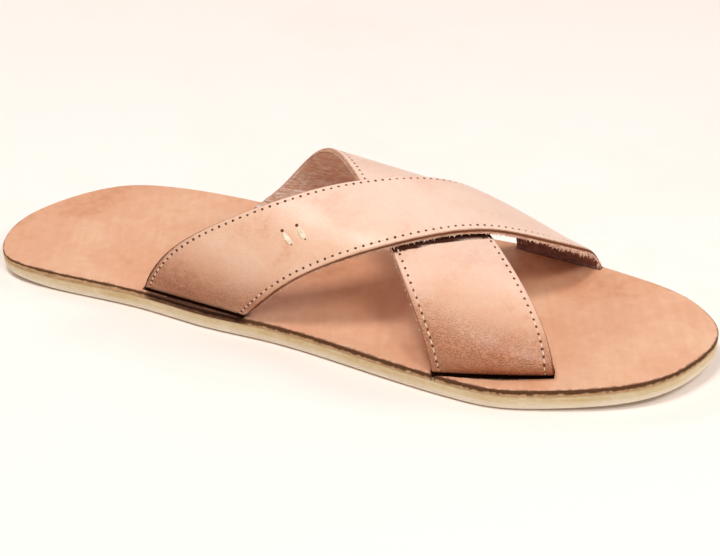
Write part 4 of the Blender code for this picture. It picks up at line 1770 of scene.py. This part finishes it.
@dataclass
class ThreadTacks:
    """Two short hand-sewn tacks on the strap that lies on top.

    The ends are places along and across the strap. swell is the strands' spacing at the ends and what the middle
    adds to it, in radii. hole_ends says how far past each end its hole lies, and the hole's share of the full width.
    """

    ends: tuple[tuple[tuple[float, float], tuple[float, float]], ...] = (
        ((57.3, 17.8), (51.9, 27.0)),
        ((62.8, 17.8), (57.3, 26.9)),
    )
    strands: int = 3
    strand_radius: float = 0.36
    rise: float = 0.40
    steps: int = 10
    sides: int = 8
    first_share: float = 0.16
    sunk: float = 0.1
    swell: tuple[float, float] = (0.5, 0.9)
    sway: float = 0.12
    sway_step: float = 0.23
    hole_width: float = 1.25
    hole_sides: int = 10
    hole_lift: float = 0.05
    hole_ends: tuple[tuple[float, float], ...] = ((-0.9, 1.0), (0.3, 0.45))

    @staticmethod
    def ring(spot: np.ndarray, reach: float, first: np.ndarray, second: np.ndarray, sides: int) -> list[np.ndarray]:
        """Points of a circle about a spot, in the plane of two directions."""
        angles = [2.0 * math.pi * s / sides for s in range(sides)]
        return [spot + reach * (math.cos(angle) * first + math.sin(angle) * second) for angle in angles]

    def make(self, bench: Bench, strap: Strap) -> None:
        """Builds the tacks and their holes.

        Args:
            bench: Where meshes are made.
            strap: The strap that carries them.
        """
        points, faces, slots = [], [], []
        for start, end in self.ends:
            share = np.linspace(self.first_share, 1.0, self.steps)
            along = start[0] + (end[0] - start[0]) * share
            across = start[1] + (end[1] - start[1]) * share
            line, normal = strap.sheet.at(along, across, 0.5 * strap.thick)
            tangent = unit(np.gradient(line, axis=0))
            beside = unit(np.cross(normal, tangent))
            arch = np.sin(math.pi * (share - self.first_share) / (1.0 - self.first_share))
            swell = self.strand_radius * (self.swell[0] + self.swell[1] * arch)
            lift = (self.rise * arch ** 0.5 - self.sunk)[:, None]
            for k in range(self.strands):
                offset = ((k - 0.5 * (self.strands - 1)) * swell)[:, None]
                sway = self.sway * np.sin(2.0 * math.pi * (share + self.sway_step * k))[:, None]
                path = line + normal * lift + beside * (offset + sway)
                faces += tube_faces(self.steps, self.sides, len(points))
                for spot, up, side in zip(path, normal, beside):
                    points += self.ring(spot, self.strand_radius, side, up, self.sides)
            slots += [TackFace.THREAD.value] * (len(faces) - len(slots))
            # Each tack's holes are flat discs painted with the shade inside a hole.
            for at, (past, width_share) in zip((0, -1), self.hole_ends):
                spot = line[at] + past * tangent[at] + self.hole_lift * normal[at]
                reach = 0.5 * self.hole_width * width_share
                faces.append(list(range(len(points), len(points) + self.hole_sides)))
                points += self.ring(spot, reach, beside[at], tangent[at], self.hole_sides)
                slots.append(TackFace.HOLE.value)
        piece = bench.mesh("strap_tacks", np.array(points), faces)
        bench.outward(piece)
        piece.data.polygons.foreach_set("material_index", slots)
        bench.dress(piece, bench.materials(TACK_THREAD, NEEDLE_HOLE), sharp=60.0)
        bench.settle(piece)


@dataclass
class CrossedUpper:
    """Two leather straps that cross over the instep, with their sewing."""

    last: Last = field(default_factory=Last)
    over: Strap = field(default_factory=lambda: Strap(
        name="over_strap", over=True,
        edges=((0.0, 68.0, 110.5), (0.15, 79.0, 124.5), (0.33, 118.0, 161.5), (0.5, 152.5, 200.5),
               (0.67, 182.0, 222.5), (0.85, 196.5, 228.0), (1.0, 198.0, 232.0)),
        slots=(((70.0, -24.3), (112.0, -32.6)), ((198.0, 41.6), (232.0, 33.2))),
        # Painted shade near both feet and along the rear edge at the lateral foot, painted shadow beside the lateral
        # slot and a painted sheen on the lip.
        slot_gap=(1.3, 1.6), foot_bulge=(0.3, 0.3), dark_foot=0.5, soil_and_shade_reach=(40.0, 42.0), lip_sheen=7.0,
        slot_shadow=(17.0, 0.5), edge_clean=(1.0, 2.0), round_passes=14, edge_slant=(0.0, 1.5),
        hole_close=(0.0, 0.55), stitch_inset=(2.1, 2.7), rear_shade=0.4))
    under: Strap = field(default_factory=lambda: Strap(
        name="under_strap", over=False,
        edges=((0.0, 185.0, 226.5), (0.15, 182.5, 226.0), (0.33, 165.0, 216.0), (0.5, 143.5, 191.5),
               (0.67, 124.5, 167.5), (0.85, 106.0, 142.0), (1.0, 89.0, 132.0)),
        slots=(((186.0, -48.6), (227.0, -38.8)), ((89.0, 43.5), (132.0, 39.8))),
        slot_gap=(1.9, 2.2), edge_clean=(3.0, 1.0), edge_slant=(0.6, 0.5), soil_and_shade_reach=(50.0, 0.5),
        seam_show=(0.2, 0.8),
        creases=((0.80, 0.05, 0.7, 0.22), (0.84, 0.1, 0.9, 0.30), (0.875, 0.0, 0.6, 0.26), (0.91, 0.2, 0.8, 0.2))))
    stitching: Stitching = field(default_factory=Stitching)
    tacks: ThreadTacks = field(default_factory=ThreadTacks)

    def lay(self, plan: SolePlan) -> None:
        """Draws both straps' middle layers."""
        for strap in (self.over, self.under):
            strap.lay(plan, self.last)

    def cutters(self, bench: Bench) -> list[bpy.types.Object]:
        """Solids that cut all four slots."""
        return self.over.slot_cutters(bench, self.last) + self.under.slot_cutters(bench, self.last)

    def make(self, bench: Bench) -> None:
        """Builds, sews and dresses both straps.

        Args:
            bench: Where meshes are made.
        """
        materials = bench.materials(STRAP_GRAIN, STRAP_EDGE, STRAP_FLESH)
        for strap, cover in ((self.over, None), (self.under, self.over)):
            piece = strap.wall(bench, cover)
            bench.dress(piece, materials, sharp=80.0)
            bench.settle(piece, "upper")
        trees = {shape: PathTree(shape) for shape in PathShape}
        sewing = self.stitching
        for strap, above, below in ((self.over, None, self.under), (self.under, self.over, None)):
            sewing.sew(bench, strap, trees, {Face.GRAIN: above, Face.FLESH: below})
        edges = ((self.over, True, 0.05, 0.97, -0.9), (self.under, False, 0.05, 0.40, -0.6),
                 (self.under, True, 0.05, 0.45, -0.8))
        ends = [(self.over, True, 0.74, 0.99, depth) for depth in sewing.fringe_depths]
        for name, frays, size in (("strap_edge_fibres", edges, sewing.fibre_size),
                                  ("strap_end_fringe", ends, sewing.fringe_size)):
            sewing.frayed(bench, name, trees[PathShape.FIBRE], [sewing.fray(*fray) for fray in frays], *size)
        self.tacks.make(bench, self.over)


@dataclass
class Studio:
    """Pale floor, soft light and the camera at the photograph's angle. A lamp is a name, a place, a size and watts."""

    target: tuple[float, float, float] = (0.0045, 0.0042, 0.0086)
    distance: float = 0.6456
    azimuth: float = 15.44
    elevation: float = 32.0
    view_angle: float = 24.0
    clip_start: float = 0.01
    floor_size: float = 6.0
    floor_drop: float = 0.0002
    fill: float = 0.28
    fill_tint: Colour = (1.0, 0.985, 0.965, 1.0)
    lamps: tuple[tuple[str, tuple[float, float, float], float, float], ...] = (
        ("top_softbox", (-0.14, -0.25, 1.12), 0.28, 6.0),
        ("front_softbox", (0.47, -0.46, 0.95), 0.30, 3.8),
        ("toe_softbox", (0.89, 0.33, 0.67), 0.42, 2.6),
        ("heel_softbox", (-0.88, 0.33, 0.67), 0.42, 2.2),
        ("back_softbox", (-0.16, 0.93, 0.67), 0.60, 0.6),
    )

    def make(self, effects: Effects) -> None:
        """Sets up the floor, the lights and the camera.

        Args:
            effects: The shared node groups.
        """
        self._floor(effects)
        scene = bpy.context.scene
        scene.view_settings.view_transform = "Standard"
        world = bpy.data.worlds.new("studio")
        world.use_nodes = True
        background = world.node_tree.nodes["Background"]
        background.inputs["Color"].default_value = self.fill_tint
        background.inputs["Strength"].default_value = self.fill
        scene.world = world
        for name, place, size, power in self.lamps:
            lamp = bpy.data.lights.new(name, "AREA")
            lamp.shape = "DISK"
            lamp.size = size
            lamp.energy = power
            self._aim(name, lamp, Vector(place), Vector(self.target))
        self._camera()

    def _floor(self, effects: Effects) -> None:
        """Lays the floor."""
        half = 0.5 * self.floor_size
        mesh = bpy.data.meshes.new("floor")
        corners = [(x, y, -self.floor_drop) for x, y in ((-half, -half), (half, -half), (half, half), (-half, half))]
        mesh.from_pydata(corners, [], [[0, 1, 2, 3]])
        mesh.materials.append(FLOOR.material(effects))
        floor = bpy.data.objects.new("floor", mesh)
        bpy.context.scene.collection.objects.link(floor)

    @staticmethod
    def _aim(name: str, data: Any, place: Vector, target: Vector) -> bpy.types.Object:
        """Places a lamp or camera so that it looks at a target."""
        thing = bpy.data.objects.new(name, data)
        turn = (target - place).to_track_quat("-Z", "Y")
        thing.matrix_world = Matrix.Translation(place) @ turn.to_matrix().to_4x4()
        bpy.context.scene.collection.objects.link(thing)
        return thing

    def _camera(self) -> None:
        """Sets the camera where the photograph was taken from."""
        lens = bpy.data.cameras.new("photo_camera")
        lens.sensor_fit = "HORIZONTAL"
        lens.angle = math.radians(self.view_angle)
        lens.clip_start = self.clip_start
        turn, tilt = math.radians(self.azimuth), math.radians(self.elevation)
        away = Vector((math.sin(turn) * math.cos(tilt), -math.cos(turn) * math.cos(tilt), math.sin(tilt)))
        target = Vector(self.target)
        camera = self._aim("photo_camera", lens, target + away * self.distance, target)
        bpy.context.scene.camera = camera


def main() -> None:
    """Builds the sandal's pieces in order and reports each one."""
    logging.basicConfig(level=logging.INFO, format="%(name)s: %(message)s")
    plan = SolePlan()
    bench = Bench(plan)
    outsole = CrepeOutsole(
        name="crepe_outsole", bottom=0.0, top=plan.insole_bottom - plan.glue_film, bevelled=True,
        side=((1.8, 0.0), (1.1, 0.03), (0.7, 0.08), (0.35, 0.15), (0.15, 0.24), (0.04, 0.36), (0.0, 0.5),
              (0.04, 0.65), (0.08, 0.8), (0.12, 0.92), (0.16, 0.97), (0.24, 1.0)))
    insole = LeatherInsole(
        name="leather_insole", bottom=plan.insole_bottom, top=plan.insole_top, bevelled=False,
        side=((0.16, 0.0), (0.06, 0.05), (0.0, 0.18), (0.0, 0.4), (0.0, 0.7), (0.06, 0.82), (0.2, 0.91),
              (0.45, 0.97), (0.8, 1.0), (1.4, 1.0)))
    upper = CrossedUpper()
    upper.lay(plan)
    outsole.make(bench)
    insole.make(bench, upper.cutters(bench), [upper.over, upper.under])
    upper.make(bench)
    Studio().make(bench.effects)


if __name__ == "__main__":
    main()
